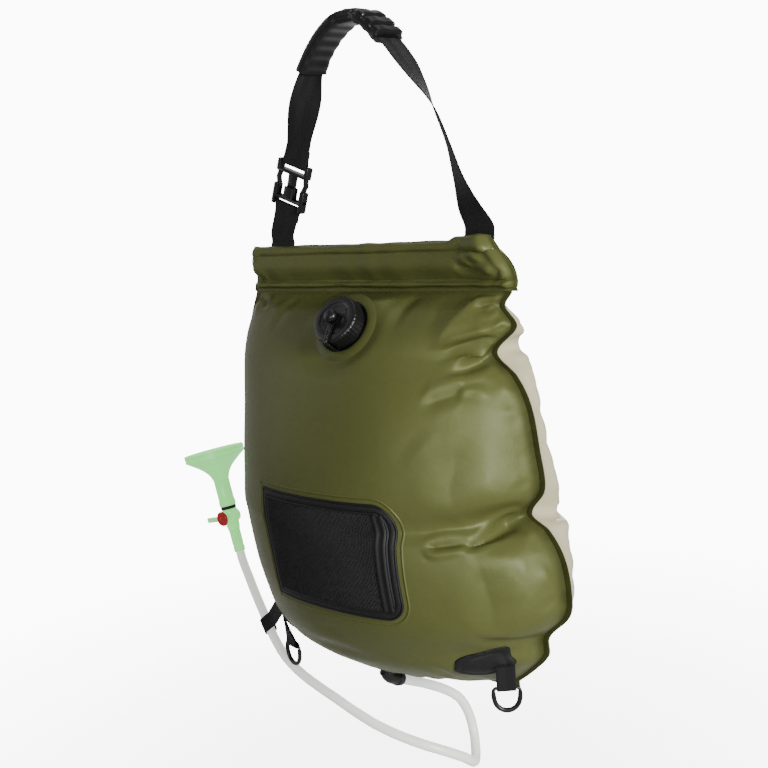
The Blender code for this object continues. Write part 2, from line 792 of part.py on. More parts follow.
def make_buckle_male():
    body = box(
        "male_body",
        (BUCKLE_WIDTH, BUCKLE_THICKNESS, MALE_HEIGHT),
        (0, 0, (MALE_FOOT + MALE_TOP) / 2),
        BLACK_PLASTIC,
        bevel=BUCKLE_CORNER,
    )
    opening_foot = MALE_FOOT + MALE_BRIDGE_HEIGHT
    opening_top = MALE_TOP + CUT_OVERRUN
    boolean(
        body,
        cutter_box(
            (BUCKLE_OPENING_WIDTH, BUCKLE_THICKNESS + 2 * CUT_OVERRUN, opening_top - opening_foot),
            (0, 0, (opening_top + opening_foot) / 2),
        ),
        "DIFFERENCE",
    )
    bar = cylinder(
        "male_bar",
        BUCKLE_BAR_RADIUS,
        BUCKLE_WIDTH - 2 * BUCKLE_CORNER,
        (0, 0, MALE_BAR_Z),
        (0, math.pi / 2, 0),
        BLACK_PLASTIC,
        steps=ROUND_STEPS // 2,
    )
    tongue_foot = CAVITY_FOOT + FIT_GAP
    tongue_top = MALE_FOOT + MALE_BRIDGE_HEIGHT / 2
    tongue = box(
        "male_tongue",
        (TONGUE_WIDTH, TONGUE_THICKNESS, tongue_top - tongue_foot),
        (0, 0, (tongue_top + tongue_foot) / 2),
        BLACK_PLASTIC,
    )
    return in_frame(joined("buckle_male", body, [bar, tongue], BLACK_PLASTIC), BUCKLE_MATRIX)


ARM_ROOT_X = BUCKLE_WIDTH / 2 - ARM_WIDTH / 2 - BUCKLE_CORNER
ARM_ROOT_Z = MALE_FOOT - FIT_GAP
ARM_BOW_SHARE = 1.1
ARM_WAIST_SHARE = 0.6
ARM_PAD_SHARE = 0.5


def make_buckle_arm(name, side):
    """A spring arm that ends in a press pad. Its origin is where it bends, at the male half."""
    pad_top = FEMALE_TOP - 3 * FEMALE_WALL
    pad_foot = CAVITY_FOOT + FIT_GAP
    half = ARM_WIDTH / 2
    stations = (
        (0, ARM_ROOT_Z, half),
        (0, ARM_ROOT_Z - ARM_WIDTH / 2, half),
        (ARM_BOW_SHARE * half / 2, (ARM_ROOT_Z + FEMALE_TOP) / 2, half),
        (-ARM_WAIST_SHARE * half, FEMALE_TOP, half),
        (-ARM_WAIST_SHARE * half, pad_top + half, half),
        (ARM_PAD_SHARE * half, pad_top, half),
        (ARM_PAD_SHARE * half, pad_foot + ARM_WIDTH, half),
        (-ARM_WAIST_SHARE * half, pad_foot, half / 2),
    )
    rings = []
    for shift, height, reach in stations:
        middle = ARM_ROOT_X + shift
        ring = []
        for across, back in ((1, -1), (-1, -1), (-1, 1), (1, 1)):
            ring.append(
                Vector(
                    (
                        side * (middle + across * reach - ARM_ROOT_X),
                        back * ARM_THICKNESS / 2,
                        height - ARM_ROOT_Z,
                    )
                )
            )
        rings.append(ring)
    arm = loft(name, rings, BLACK_PLASTIC)
    arm.location = (side * ARM_ROOT_X, 0, ARM_ROOT_Z)
    return in_frame(arm, BUCKLE_MATRIX)


buckle_female = make_buckle_female()
buckle_male = make_buckle_male()
buckle_arm_left = make_buckle_arm("buckle_arm_left", -1)
buckle_arm_right = make_buckle_arm("buckle_arm_right", 1)

# Webbing ribbons

PLY_OFFSET = WEBBING_THICKNESS / 2 + FIT_GAP
WRAP_RADIUS = BUCKLE_BAR_RADIUS + FIT_GAP + WEBBING_THICKNESS / 2
WRAP_STEPS = 6
UPPER_TAIL_LENGTH = 0.020
LOWER_TAIL_LENGTH = 0.016
PLY_MEET_LENGTH = 0.009  # where the two plies come together beyond a bar


def ribbon_frames(route, width_directions, runs=None):
    """(place, width direction, thickness direction) at each point of the route."""
    frames = []
    for index, place in enumerate(route):
        before = route[max(index - 1, 0)]
        after = route[min(index + 1, len(route) - 1)]
        along = (after - before).normalized()
        if runs and runs[index] is not None:
            along = runs[index]
        wide = width_directions[index].normalized()
        frames.append((place, wide, along.cross(wide).normalized()))
    return frames


def ribbon(name, frames, material):
    rings = []
    for place, wide, thick in frames:
        reach = wide * WEBBING_WIDTH / 2
        rise = thick * WEBBING_THICKNESS / 2
        rings.append([place + reach + rise, place - reach + rise, place - reach - rise, place + reach - rise])
    return loft(name, rings, material)


def wrap_points(bar_z, turn, tail_length):
    """Buckle-frame points of webbing that comes up the front of a bar, goes round it and back."""
    points = [(-PLY_OFFSET, turn * -PLY_MEET_LENGTH)]
    for step in range(WRAP_STEPS + 1):
        angle = math.pi * step / WRAP_STEPS
        points.append((-WRAP_RADIUS * math.cos(angle), turn * WRAP_RADIUS * math.sin(angle)))
    points.append((PLY_OFFSET, turn * -PLY_MEET_LENGTH))
    points.append((PLY_OFFSET, turn * -tail_length))
    return [BUCKLE_MATRIX @ Vector((0, back, bar_z + height)) for back, height in points]


def measured(route):
    lengths = [0]
    for first, second in zip(route, route[1:]):
        lengths.append(lengths[-1] + (second - first).length)
    return lengths


def place_at(route, lengths, distance):
    for index in range(len(route) - 1):
        if distance <= lengths[index + 1] or index == len(route) - 2:
            span = lengths[index + 1] - lengths[index]
            return route[index].lerp(route[index + 1], (distance - lengths[index]) / span)


def spaced(start, end, step):
    """Distances from start up to but not including end, in equal steps no longer than the given one."""
    count = max(1, math.ceil((end - start) / step))
    return [start + (end - start) * index / count for index in range(count)]


def turned_width(degrees):
    """Level width direction of webbing turned from the Y axis towards -X, seen from above."""
    angle = math.radians(degrees)
    return Vector((-math.sin(angle), math.cos(angle), 0))


APEX = strap_point(0, 1)
FOLD_RIGHT = strap_point(1, 0)
FOLD_LEFT = strap_point(-1, 0)
right_points = [
    FOLD_RIGHT + Vector((0, 0, FOLD_STRAP_GAP)),
    FOLD_RIGHT + Vector((0, 0, STRAP_TURN_RISE)),
    *[strap_point(*shares) for shares in RIGHT_ROUTE_SHARES],
    APEX + Vector((REST_END, 0, 0)),
]
upper_wrap = wrap_points(MALE_BAR_Z, -1, UPPER_TAIL_LENGTH)
left_points = [
    APEX - Vector((REST_END, 0, 0)),
    *[strap_point(*shares) for shares in LEFT_ROUTE_SHARES],
    upper_wrap[0],
]
right_limb = smooth_route(right_points, ROUTE_PIECES, None, -X_AXIS)
left_limb = smooth_route(left_points, ROUTE_PIECES, -X_AXIS, None)
right_lengths = measured(right_limb)
left_lengths = measured(left_limb)
RIGHT_LIMB_LENGTH = right_lengths[-1]
LEFT_LIMB_LENGTH = left_lengths[-1]


def grip_stations(length, blocks):
    """(distance from the rest's end, rise) pairs along one half of the grip."""
    reach = length - REST_END
    stations = [(REST_BLEND_LENGTH, 0)]
    for start, end in blocks:
        stations.append((start * length - REST_END - BLOCK_SLOPE_LENGTH, 0))
        stations.append((start * length - REST_END, BLOCK_RISE))
        stations.append((end * length - REST_END, BLOCK_RISE))
        stations.append((end * length - REST_END + BLOCK_SLOPE_LENGTH, 0))
    stations.append((reach, 0))
    return stations


def limb_route(limb, lengths, total, stations):
    """Places along a limb from its far end to the rest: even steps outside the grip, its stations in it."""
    grip_reach = stations[-1][0]
    distances = spaced(0, total - grip_reach, STRAP_STEP)
    distances += [total - distance for distance, rise in reversed(stations)]
    distances.append(total)
    places = []
    for distance in distances:
        before = place_at(limb, lengths, max(distance - RUN_REACH, 0))
        after = place_at(limb, lengths, min(distance + RUN_REACH, total))
        place = place_at(limb, lengths, distance)
        if distance == total:
            before = Vector((before.x, before.y, after.z))
        places.append((place, distance / total, (after - before).normalized()))
    return places


RIGHT_TWIST_SHARES = (
    (0, 90), (0.025, 90), (0.07, 85), (0.2, 56), (0.34, 42), (0.5, 36), (0.62, 14), (0.72, 0), (1, 0),
)
LEFT_TWIST_SHARES = ((0, 90), (0.12, 86), (0.3, 56), (0.46, 16), (0.58, 0), (1, 0))
BUCKLE_TURN_SHARE = 0.14
right_stations = grip_stations(GRIP_RIGHT_LENGTH, RIGHT_BLOCK_SHARES)
left_stations = grip_stations(GRIP_LEFT_LENGTH, LEFT_BLOCK_SHARES)
left_back = left_limb[::-1]
right_part = limb_route(right_limb, right_lengths, RIGHT_LIMB_LENGTH, right_stations)
left_part = limb_route(left_back, measured(left_back), LEFT_LIMB_LENGTH, left_stations)
strap_route = []
strap_widths = []
strap_runs = []
for place, share, run in right_part:
    strap_route.append(place)
    strap_widths.append(turned_width(smooth_value(RIGHT_TWIST_SHARES, share)))
    strap_runs.append(run)
for side in (1, -1):
    strap_route.append(APEX + Vector((side * REST_HALF_LENGTH, 0, 0)))
    strap_widths.append(turned_width(0))
    strap_runs.append(-X_AXIS)
for place, share, run in reversed(left_part):
    strap_route.append(place)
    level = turned_width(-smooth_value(LEFT_TWIST_SHARES, share))
    strap_widths.append(level.lerp(BUCKLE_SIDE, 1 - eased(share / BUCKLE_TURN_SHARE)))
    strap_runs.append(-run)
for place in upper_wrap[1:]:
    strap_route.append(place)
    strap_widths.append(BUCKLE_SIDE)
    strap_runs.append(None)
strap_frames = ribbon_frames(strap_route, strap_widths, strap_runs)
strap_upper = ribbon("strap_upper", strap_frames, WEBBING)

lower_wrap = wrap_points(0, 1, LOWER_TAIL_LENGTH)
LOWER_STRAIGHT = 0.020
lower_points = [
    FOLD_LEFT + Vector((0, 0, FOLD_STRAP_GAP)),
    FOLD_LEFT + Vector((0, 0, STRAP_TURN_RISE)),
    BUCKLE_MATRIX @ Vector((0, -PLY_OFFSET, -LOWER_STRAIGHT)),
    lower_wrap[0],
]
lower_route = smooth_route(lower_points, WRAP_STEPS // 2) + lower_wrap[1:]
lower_widths = []
for index in range(len(lower_route)):
    share = eased(index / (len(lower_route) - len(lower_wrap)))
    lower_widths.append(X_AXIS.lerp(BUCKLE_SIDE, share))
strap_lower = ribbon("strap_lower", ribbon_frames(lower_route, lower_widths), WEBBING)

# Grip: a moulded sleeve on the webbing, with raised blocks and a flat rest under its middle

GRIP_OUTLINE_SHARES = (
    (1, 0.55), (0.88, 1), (0.45, 1), (0, 1), (-0.45, 1), (-0.88, 1), (-1, 0.55), (-1, -0.55),
    (-0.88, -1), (-0.45, -1), (0, -1), (0.45, -1), (0.88, -1), (1, -0.55),
)
GRIP_SLOT_SHARES = (
    (1, 0.5), (1, 1), (0.5, 1), (0, 1), (-0.5, 1), (-1, 1), (-1, 0.5), (-1, -0.5), (-1, -1),
    (-0.5, -1), (0, -1), (0.5, -1), (1, -1), (1, -0.5),
)


def make_grip():
    rises = [rise for distance, rise in reversed(right_stations)] + [0, 0, 0, 0]
    rises += [rise for distance, rise in left_stations]
    first = len(right_part) - 1 - len(right_stations)
    bm = bmesh.new()
    outer_rings = []
    slot_rings = []
    for rise, (place, wide, thick) in zip(rises, strap_frames[first:]):
        if thick.z < 0:
            thick = -thick
            wide = -wide
        outer = []
        for wide_share, thick_share in GRIP_OUTLINE_SHARES:
            top = GRIP_HALF_THICKNESS + (rise if thick_share > 0 else 0)
            width = GRIP_HALF_WIDTH + rise / 2
            outer.append(bm.verts.new(place + wide * wide_share * width + thick * thick_share * top))
        slot = []
        for wide_share, thick_share in GRIP_SLOT_SHARES:
            across = wide * wide_share * GRIP_SLOT_HALF_WIDTH
            slot.append(bm.verts.new(place + across + thick * thick_share * GRIP_SLOT_HALF_HEIGHT))
        outer_rings.append(outer)
        slot_rings.append(slot)
    count = len(GRIP_OUTLINE_SHARES)
    for rings in (outer_rings, slot_rings):
        for here, beyond in zip(rings, rings[1:]):
            for index in range(count):
                following = (index + 1) % count
                bm.faces.new((here[index], here[following], beyond[following], beyond[index]))
    for end in (0, -1):
        outer = outer_rings[end]
        slot = slot_rings[end]
        for index in range(count):
            following = (index + 1) % count
            bm.faces.new((outer[index], outer[following], slot[following], slot[index]))
    return finish_mesh("grip", bm, BLACK_PLASTIC)


grip = make_grip()

# Fill valve, in its own frame: Z out of the panel, Y up along it, zero on the panel's middle surface

FLANGE_SINK = 0.0012
FLANGE_RISE = 0.0018
FLANGE_EDGE = 0.0008
NECK_RADIUS = 0.0230
NECK_BORE_RADIUS = 0.0190
NECK_RISE = 0.0170
CAP_RADIUS = 0.0290
CAP_BORE_RADIUS = 0.0236
CAP_SKIRT_Z = 0.0052
CAP_SEAT_Z = 0.0195
CAP_TOP_Z = 0.0225
CAP_CORNER = 0.0016
TETHER_RING_RADIUS = 0.0272
TETHER_RING_BORE = 0.0235
TETHER_RING_Z = 0.0024
TETHER_RING_THICKNESS = 0.0018
TETHER_THICKNESS = 0.0016  # of its eye
TETHER_STRAP_THICKNESS = 0.0014
TETHER_HALF_WIDTH = 0.0040
TETHER_CLEARANCE = 0.0012
KNOB_STEM_RADIUS = 0.0042
KNOB_RADIUS = 0.0080
KNOB_FOOT_Z = CAP_TOP_Z + FIT_GAP
KNOB_HEIGHT = 0.0095
TETHER_PLAY = 0.0009  # above the tether's eye, under the knob
KNOB_NECK_Z = KNOB_FOOT_Z + TETHER_THICKNESS + TETHER_PLAY
KNOB_TOP_Z = KNOB_NECK_Z + KNOB_HEIGHT
EYE_RADIUS = 0.0080
SEAL_RADIUS = 0.0228

VALVE_NORMAL = Vector((0, -math.cos(VALVE_LEAN), math.sin(VALVE_LEAN)))
VALVE_UP = VALVE_NORMAL.cross(X_AXIS)
VALVE_MATRIX = frame_matrix(Vector((VALVE_SIDE, VALVE_Y, VALVE_Z)), X_AXIS, VALVE_UP, VALVE_NORMAL)

valve_hole = cylinder(
    "valve_hole_cutter",
    VALVE_FLANGE_RADIUS + FIT_GAP,
    4 * CUT_OVERRUN,
    (0, 0, 0),
    (0, 0, 0),
    None,
    collection=CUTTERS,
    steps=FINE_STEPS,
)
in_frame(valve_hole, VALVE_MATRIX)
boolean(front_panel, valve_hole, "DIFFERENCE")

valve_base = turned(
    "valve_base",
    [
        (NECK_RADIUS, NECK_RISE),
        (NECK_RADIUS, FLANGE_RISE),
        (VALVE_FLANGE_RADIUS - FLANGE_EDGE, FLANGE_RISE),
        (VALVE_FLANGE_RADIUS, FLANGE_RISE - FLANGE_EDGE),
        (VALVE_FLANGE_RADIUS, -FLANGE_SINK),
        (NECK_BORE_RADIUS, -FLANGE_SINK),
        (NECK_BORE_RADIUS, NECK_RISE),
    ],
    BLACK_PLASTIC,
    closed=True,
    steps=FINE_STEPS,
)
in_frame(valve_base, VALVE_MATRIX)

fill_cap = turned(
    "fill_cap",
    [
        (0, CAP_TOP_Z),
        (CAP_RADIUS - CAP_CORNER, CAP_TOP_Z),
        (CAP_RADIUS, CAP_TOP_Z - CAP_CORNER),
        (CAP_RADIUS, CAP_SKIRT_Z),
        (CAP_BORE_RADIUS, CAP_SKIRT_Z),
        (CAP_BORE_RADIUS, CAP_SEAT_Z),
        (0, CAP_SEAT_Z),
    ],
    BLACK_PLASTIC,
    steps=FINE_STEPS,
)
in_frame(fill_cap, VALVE_MATRIX)

cap_seal = turned(
    "cap_seal",
    [
        (SEAL_RADIUS, CAP_SEAT_Z - FIT_GAP),
        (SEAL_RADIUS, NECK_RISE + FIT_GAP),
        (NECK_BORE_RADIUS, NECK_RISE + FIT_GAP),
        (NECK_BORE_RADIUS, CAP_SEAT_Z - FIT_GAP),
    ],
    RUBBER,
    closed=True,
)
in_frame(cap_seal, VALVE_MATRIX)

cap_knob = turned(
    "cap_knob",
    [
        (0, KNOB_TOP_Z),
        (KNOB_RADIUS / 2, KNOB_TOP_Z),
        (KNOB_RADIUS, KNOB_TOP_Z - KNOB_RADIUS / 3),
        (KNOB_RADIUS, KNOB_NECK_Z + FLANGE_EDGE),
        (KNOB_RADIUS - FLANGE_EDGE, KNOB_NECK_Z),
        (KNOB_STEM_RADIUS, KNOB_NECK_Z),
        (KNOB_STEM_RADIUS, KNOB_FOOT_Z),
        (0, KNOB_FOOT_Z),
    ],
    BLACK_PLASTIC,
    steps=ROUND_STEPS,
)
in_frame(cap_knob, VALVE_MATRIX)


def circle(radius, steps):
    return [
        (radius * math.cos(2 * math.pi * step / steps), radius * math.sin(2 * math.pi * step / steps))
        for step in range(steps)
    ]


def make_cap_tether():
    """A ring loose on the neck, a strap over the cap's lower edge, and an eye round the knob."""
    ring = flat_outline(
        "tether_ring",
        [circle(TETHER_RING_RADIUS, FINE_STEPS), circle(TETHER_RING_BORE, FINE_STEPS)],
        TETHER_RING_THICKNESS,
        BLACK_PLASTIC,
    )
    ring.location.z = TETHER_RING_Z + TETHER_RING_THICKNESS / 2
    eye_z = CAP_TOP_Z + FIT_GAP + TETHER_THICKNESS / 2
    eye = flat_outline(
        "tether_eye",
        [circle(EYE_RADIUS, ROUND_STEPS), circle(KNOB_STEM_RADIUS + FIT_GAP, ROUND_STEPS)],
        TETHER_THICKNESS,
        BLACK_PLASTIC,
    )
    eye.location.z = eye_z
    outer = CAP_RADIUS + TETHER_CLEARANCE + TETHER_THICKNESS / 2
    ring_z = TETHER_RING_Z + TETHER_RING_THICKNESS / 2
    bend = TETHER_THICKNESS
    line = [
        ((TETHER_RING_RADIUS + TETHER_RING_BORE) / 2, ring_z),
        (outer - bend, ring_z),
        (outer, ring_z + bend),
        (outer, eye_z - bend),
        (outer - bend, eye_z),
        ((EYE_RADIUS + KNOB_STEM_RADIUS) / 2, eye_z),
    ]
    half = TETHER_STRAP_THICKNESS / 2
    rings = []
    for index, (reach, height) in enumerate(line):
        before = line[max(index - 1, 0)]
        after = line[min(index + 1, len(line) - 1)]
        run = Vector((after[0] - before[0], after[1] - before[1])).normalized()
        out = (run.y * half, -run.x * half)
        rings.append(
            [
                Vector((TETHER_HALF_WIDTH, -(reach + out[0]), height + out[1])),
                Vector((-TETHER_HALF_WIDTH, -(reach + out[0]), height + out[1])),
                Vector((-TETHER_HALF_WIDTH, -(reach - out[0]), height - out[1])),
                Vector((TETHER_HALF_WIDTH, -(reach - out[0]), height - out[1])),
            ]
        )
    strap = loft("tether_strap", rings, BLACK_PLASTIC)
    return in_frame(joined("cap_tether", ring, [strap, eye], BLACK_PLASTIC), VALVE_MATRIX)


cap_tether = make_cap_tether()

# Mesh pocket on the belly, seen from the front: rounded at its two right corners

POCKET_CENTRE_X = 0.010
POCKET_CENTRE_DROP = 0.273  # from the hem's lower lip to the pocket's middle
POCKET_WIDTH = 0.186
POCKET_HEIGHT = 0.126
POCKET_SHEAR = 0.014  # how far the bottom edge is shifted to the right
POCKET_BORDER = 0.011
POCKET_CORNER = 0.022
POCKET_PLACKET_WIDTH = 0.012
POCKET_FRAME_THICKNESS = 0.0018
POCKET_LIFT = PANEL_THICKNESS / 2 + FIT_GAP + POCKET_FRAME_THICKNESS / 2
NET_THICKNESS = 0.0014
NET_LIFT = POCKET_LIFT + FIT_GAP
NET_COLUMNS = 14
NET_ROWS = 9
PRISM_DEPTH = 0.30
CORNER_STEPS = 5
POCKET_CENTRE_Z = HEM_LIP_Z - POCKET_CENTRE_DROP


def pocket_point(across, rise):
    """Front-view place of a point measured from the pocket's middle."""
    shift = -POCKET_SHEAR * rise / POCKET_HEIGHT
    return (POCKET_CENTRE_X + across + shift, POCKET_CENTRE_Z + rise)


def rounded_right(half_width, half_height, corner, centre_x=0):
    """An outline that is square on the left and rounded on the right, anticlockwise."""
    points = [(centre_x - half_width, half_height), (centre_x - half_width, -half_height)]
    for side, start in ((-1, -math.pi / 2), (1, 0)):
        for step in range(CORNER_STEPS + 1):
            angle = start + math.pi / 2 * step / CORNER_STEPS
            points.append(
                (
                    centre_x + half_width - corner + corner * math.cos(angle),
                    side * (half_height - corner) + corner * math.sin(angle),
                )
            )
    return points


def pocket_prism(loops):
    """A prism along Y through the front of the bag, with the given front-view loops."""
    placed = [[pocket_point(*point) for point in loop] for loop in loops]
    prism = flat_outline("pocket_prism", placed, PRISM_DEPTH, None, collection=CUTTERS)
    prism.rotation_euler = (math.pi / 2, 0, 0)
    prism.location.y = -PRISM_DEPTH / 2 - FLANGE_RISE
    return prism


WINDOW_HALF_WIDTH = POCKET_WIDTH / 2 - POCKET_BORDER
WINDOW_HALF_HEIGHT = POCKET_HEIGHT / 2 - POCKET_BORDER
WINDOW_CORNER = POCKET_CORNER - POCKET_BORDER
pocket_frame = front_skin(
    "pocket_frame",
    POCKET_LIFT,
    POCKET_FRAME_THICKNESS,
    pocket_prism(
        [
            rounded_right(POCKET_WIDTH / 2, POCKET_HEIGHT / 2, POCKET_CORNER),
            rounded_right(WINDOW_HALF_WIDTH, WINDOW_HALF_HEIGHT, WINDOW_CORNER),
        ]
    ),
    BLACK_TRIM,
)
PLACKET_MIDDLE = WINDOW_HALF_WIDTH - FIT_GAP - POCKET_PLACKET_WIDTH / 2
pocket_placket = front_skin(
    "pocket_placket",
    POCKET_LIFT,
    POCKET_FRAME_THICKNESS,
    pocket_prism(
        [
            rounded_right(
                POCKET_PLACKET_WIDTH / 2,
                WINDOW_HALF_HEIGHT - FIT_GAP,
                WINDOW_CORNER - FIT_GAP,
                PLACKET_MIDDLE,
            )
        ]
    ),
    BLACK_TRIM,
)


def make_pocket_mesh():
    net_left = -WINDOW_HALF_WIDTH + FIT_GAP + NET_THICKNESS / 2
    net_right = PLACKET_MIDDLE - POCKET_PLACKET_WIDTH / 2 - FIT_GAP - NET_THICKNESS / 2
    net_top = WINDOW_HALF_HEIGHT - FIT_GAP - NET_THICKNESS / 2
    bm = bmesh.new()
    rows = []
    for row in range(NET_ROWS + 1):
        verts = []
        for column in range(NET_COLUMNS + 1):
            across = net_left + (net_right - net_left) * column / NET_COLUMNS
            rise = net_top - 2 * net_top * row / NET_ROWS
            x, z = pocket_point(across, rise)
            verts.append(bm.verts.new(above_front(x, z, NET_LIFT)))
        rows.append(verts)
    for upper, lower in zip(rows, rows[1:]):
        for index in range(NET_COLUMNS):
            bm.faces.new((upper[index], upper[index + 1], lower[index + 1], lower[index]))
    net = finish_mesh("pocket_mesh", bm, BLACK_MESH)
    wires = net.modifiers.new("wires", "WIREFRAME")
    wires.thickness = NET_THICKNESS
    wires.use_even_offset = False
    wires.use_boundary = True
    wires.use_replace = True
    return net


pocket_mesh = make_pocket_mesh()

# Corner patches, webbing tabs and rings

PATCH_HALF_LENGTH = 0.033
PATCH_HALF_HEIGHT = 0.018
PATCH_THICKNESS = 0.0014
PATCH_LIFT = PANEL_THICKNESS / 2 + FIT_GAP + PATCH_THICKNESS / 2
PATCH_PRISM_DEPTH = 0.060
RING_HALF_WIDTH = 0.0145
RING_DEPTH = 0.026
RING_CORNER = 0.003
RING_FULLNESS = 1.5  # 1 gives an ellipse under the bar, more gives squarer shoulders
RING_STEPS = 10
RIGHT_PATCH_DROP = 0.397  # from the hem's lower lip to the patch's middle
LEFT_PATCH_DROP = 0.400
RIGHT_BAR_DROP = 0.424
LEFT_BAR_DROP = 0.443
RIGHT_PATCH_SHARE = 0.7273  # of the belly's half width, from the middle to the patch's middle
LEFT_PATCH_SHARE = 0.6636
RIGHT_BAR_SHARE = 0.8182
LEFT_BAR_SHARE = 0.6545
RIGHT_BAR_STAND = 0.048  # in front of the side welds
LEFT_BAR_STAND = 0.046
RIGHT_PATCH = (BELLY_HALF_WIDTH * RIGHT_PATCH_SHARE, HEM_LIP_Z - RIGHT_PATCH_DROP)
LEFT_PATCH = (-BELLY_HALF_WIDTH * LEFT_PATCH_SHARE, HEM_LIP_Z - LEFT_PATCH_DROP)
RIGHT_BAR = Vector(
    (BELLY_HALF_WIDTH * RIGHT_BAR_SHARE, -RIGHT_BAR_STAND, HEM_LIP_Z - RIGHT_BAR_DROP)
)
LEFT_BAR = Vector(
    (-BELLY_HALF_WIDTH * LEFT_BAR_SHARE, -LEFT_BAR_STAND, HEM_LIP_Z - LEFT_BAR_DROP)
)
RIGHT_RING_YAW = math.radians(38)
LEFT_RING_YAW = math.radians(-14)
TAB_LIFT = PATCH_LIFT + PATCH_THICKNESS / 2 + TAB_THICKNESS
RIGHT_TAB_REST = -0.0006
LEFT_TAB_REST = 0.0020


def make_patch(name, place, lean):
    x, z = place
    normal = front_normal(x, z)
    side = Vector((0, 0, 1)).cross(normal).normalized()
    side = side * math.cos(lean) + normal.cross(side) * math.sin(lean)
    outline = [
        (PATCH_HALF_LENGTH * math.cos(angle), PATCH_HALF_HEIGHT * math.sin(angle))
        for angle in [2 * math.pi * step / ROUND_STEPS for step in range(ROUND_STEPS)]
    ]
    prism = flat_outline("patch_prism", [outline], PATCH_PRISM_DEPTH, None, collection=CUTTERS)
    prism.matrix_world = frame_matrix(on_front(x, z, 0), side, normal.cross(side), normal)
    return front_skin(name, PATCH_LIFT, PATCH_THICKNESS, prism, BLACK_TRIM)


corner_patch_right = make_patch("corner_patch_right", RIGHT_PATCH, 0)
corner_patch_left = make_patch("corner_patch_left", LEFT_PATCH, 0)


def ring_line():
    straight = RING_HALF_WIDTH - RING_CORNER
    points = [(-straight, 0), (0, 0), (straight, 0)]
    points.append((RING_HALF_WIDTH - RING_CORNER / 3, -RING_CORNER / 3))
    points.append((RING_HALF_WIDTH, -RING_CORNER))
    for step in range(1, RING_STEPS):
        angle = math.pi * step / RING_STEPS
        points.append(
            (
                RING_HALF_WIDTH * math.cos(angle),
                -RING_CORNER - (RING_DEPTH - RING_CORNER) * math.sin(angle) ** (1 / RING_FULLNESS),
            )
        )
    points.append((-RING_HALF_WIDTH, -RING_CORNER))
    points.append((-RING_HALF_WIDTH + RING_CORNER / 3, -RING_CORNER / 3))
    return [(x, 0, z) for x, z in points]


def make_ring(name, bar, yaw):
    ring = tube(name, ring_line(), RING_WIRE_RADIUS, BLACK_PLASTIC, cyclic=True)
    ring.location = bar
    ring.rotation_euler = (0, 0, yaw)
    return ring


d_ring_right = make_ring("d_ring_right", RIGHT_BAR, RIGHT_RING_YAW)
d_ring_left = make_ring("d_ring_left", LEFT_BAR, LEFT_RING_YAW)


def yaw_axis(yaw):
    return Vector((math.cos(yaw), math.sin(yaw), 0))


def level_tangent(x, z):
    """Level direction along the front panel there, to the right."""
    return Vector((0, 0, 1)).cross(front_normal(x, z)).normalized()


right_tab_end = on_front(*RIGHT_PATCH, TAB_LIFT + RIGHT_TAB_REST)
left_tab_end = on_front(*LEFT_PATCH, TAB_LIFT + LEFT_TAB_REST)
corner_tab_right = loop_tab(
    "corner_tab_right",
    RING_WIRE_RADIUS + FIT_GAP,
    TAB_THICKNESS,
    TAB_WIDTH,
    RIGHT_BAR,
    right_tab_end,
    yaw_axis(RIGHT_RING_YAW),
    WEBBING,
    level_tangent(*RIGHT_PATCH),
)
corner_tab_left = loop_tab(
    "corner_tab_left",
    RING_WIRE_RADIUS + FIT_GAP,
    TAB_THICKNESS,
    TAB_WIDTH,
    LEFT_BAR,
    left_tab_end,
    yaw_axis(LEFT_RING_YAW),
    WEBBING,
    level_tangent(*LEFT_PATCH),
)

# Outlet under the belly: a flange in the front panel and an elbow that leads the hose out

OUTLET_X = 0.018
OUTLET_SHARE = 0.984
OUTLET_RADIUS = 0.017
OUTLET_BORE_RADIUS = 0.0042
OUTLET_SINK = 0.0030
OUTLET_RISE = 0.0022
ELBOW_RADIUS = 0.0085
ELBOW_STRAIGHT = 0.002
ELBOW_REACH = 0.009
OUTLET_Z = PANEL_TOP_Z - PANEL_DROP * OUTLET_SHARE
OUTLET_CENTRE = on_front(OUTLET_X, OUTLET_Z, 0)
OUTLET_NORMAL = front_normal(OUTLET_X, OUTLET_Z)
OUTLET_MATRIX = frame_matrix(
    OUTLET_CENTRE,
    OUTLET_NORMAL.cross(Vector((0, 1, 0))).normalized(),
    OUTLET_NORMAL.cross(OUTLET_NORMAL.cross(Vector((0, 1, 0)))).normalized(),
    OUTLET_NORMAL,
)
outlet_hole = cylinder(
    "outlet_hole_cutter",
    OUTLET_RADIUS + FIT_GAP,
    4 * CUT_OVERRUN,
    (0, 0, 0),
    (0, 0, 0),
    None,
    collection=CUTTERS,
)
in_frame(outlet_hole, OUTLET_MATRIX)
boolean(front_panel, outlet_hole, "DIFFERENCE")
outlet_flange = turned(
    "outlet_flange",
    [
        (OUTLET_RADIUS - FLANGE_EDGE, OUTLET_RISE),
        (OUTLET_RADIUS, OUTLET_RISE - FLANGE_EDGE),
        (OUTLET_RADIUS, -OUTLET_SINK),
        (OUTLET_BORE_RADIUS, -OUTLET_SINK),
        (OUTLET_BORE_RADIUS, OUTLET_RISE),
    ],
    BLACK_PLASTIC,
    closed=True,
)
in_frame(outlet_flange, OUTLET_MATRIX)

# Hose from the elbow under the bag, round in a loop and up beside it to the shower head. Each point
# is its place across as a share of the belly's half width, its place back and its drop from the hem's
# lower lip

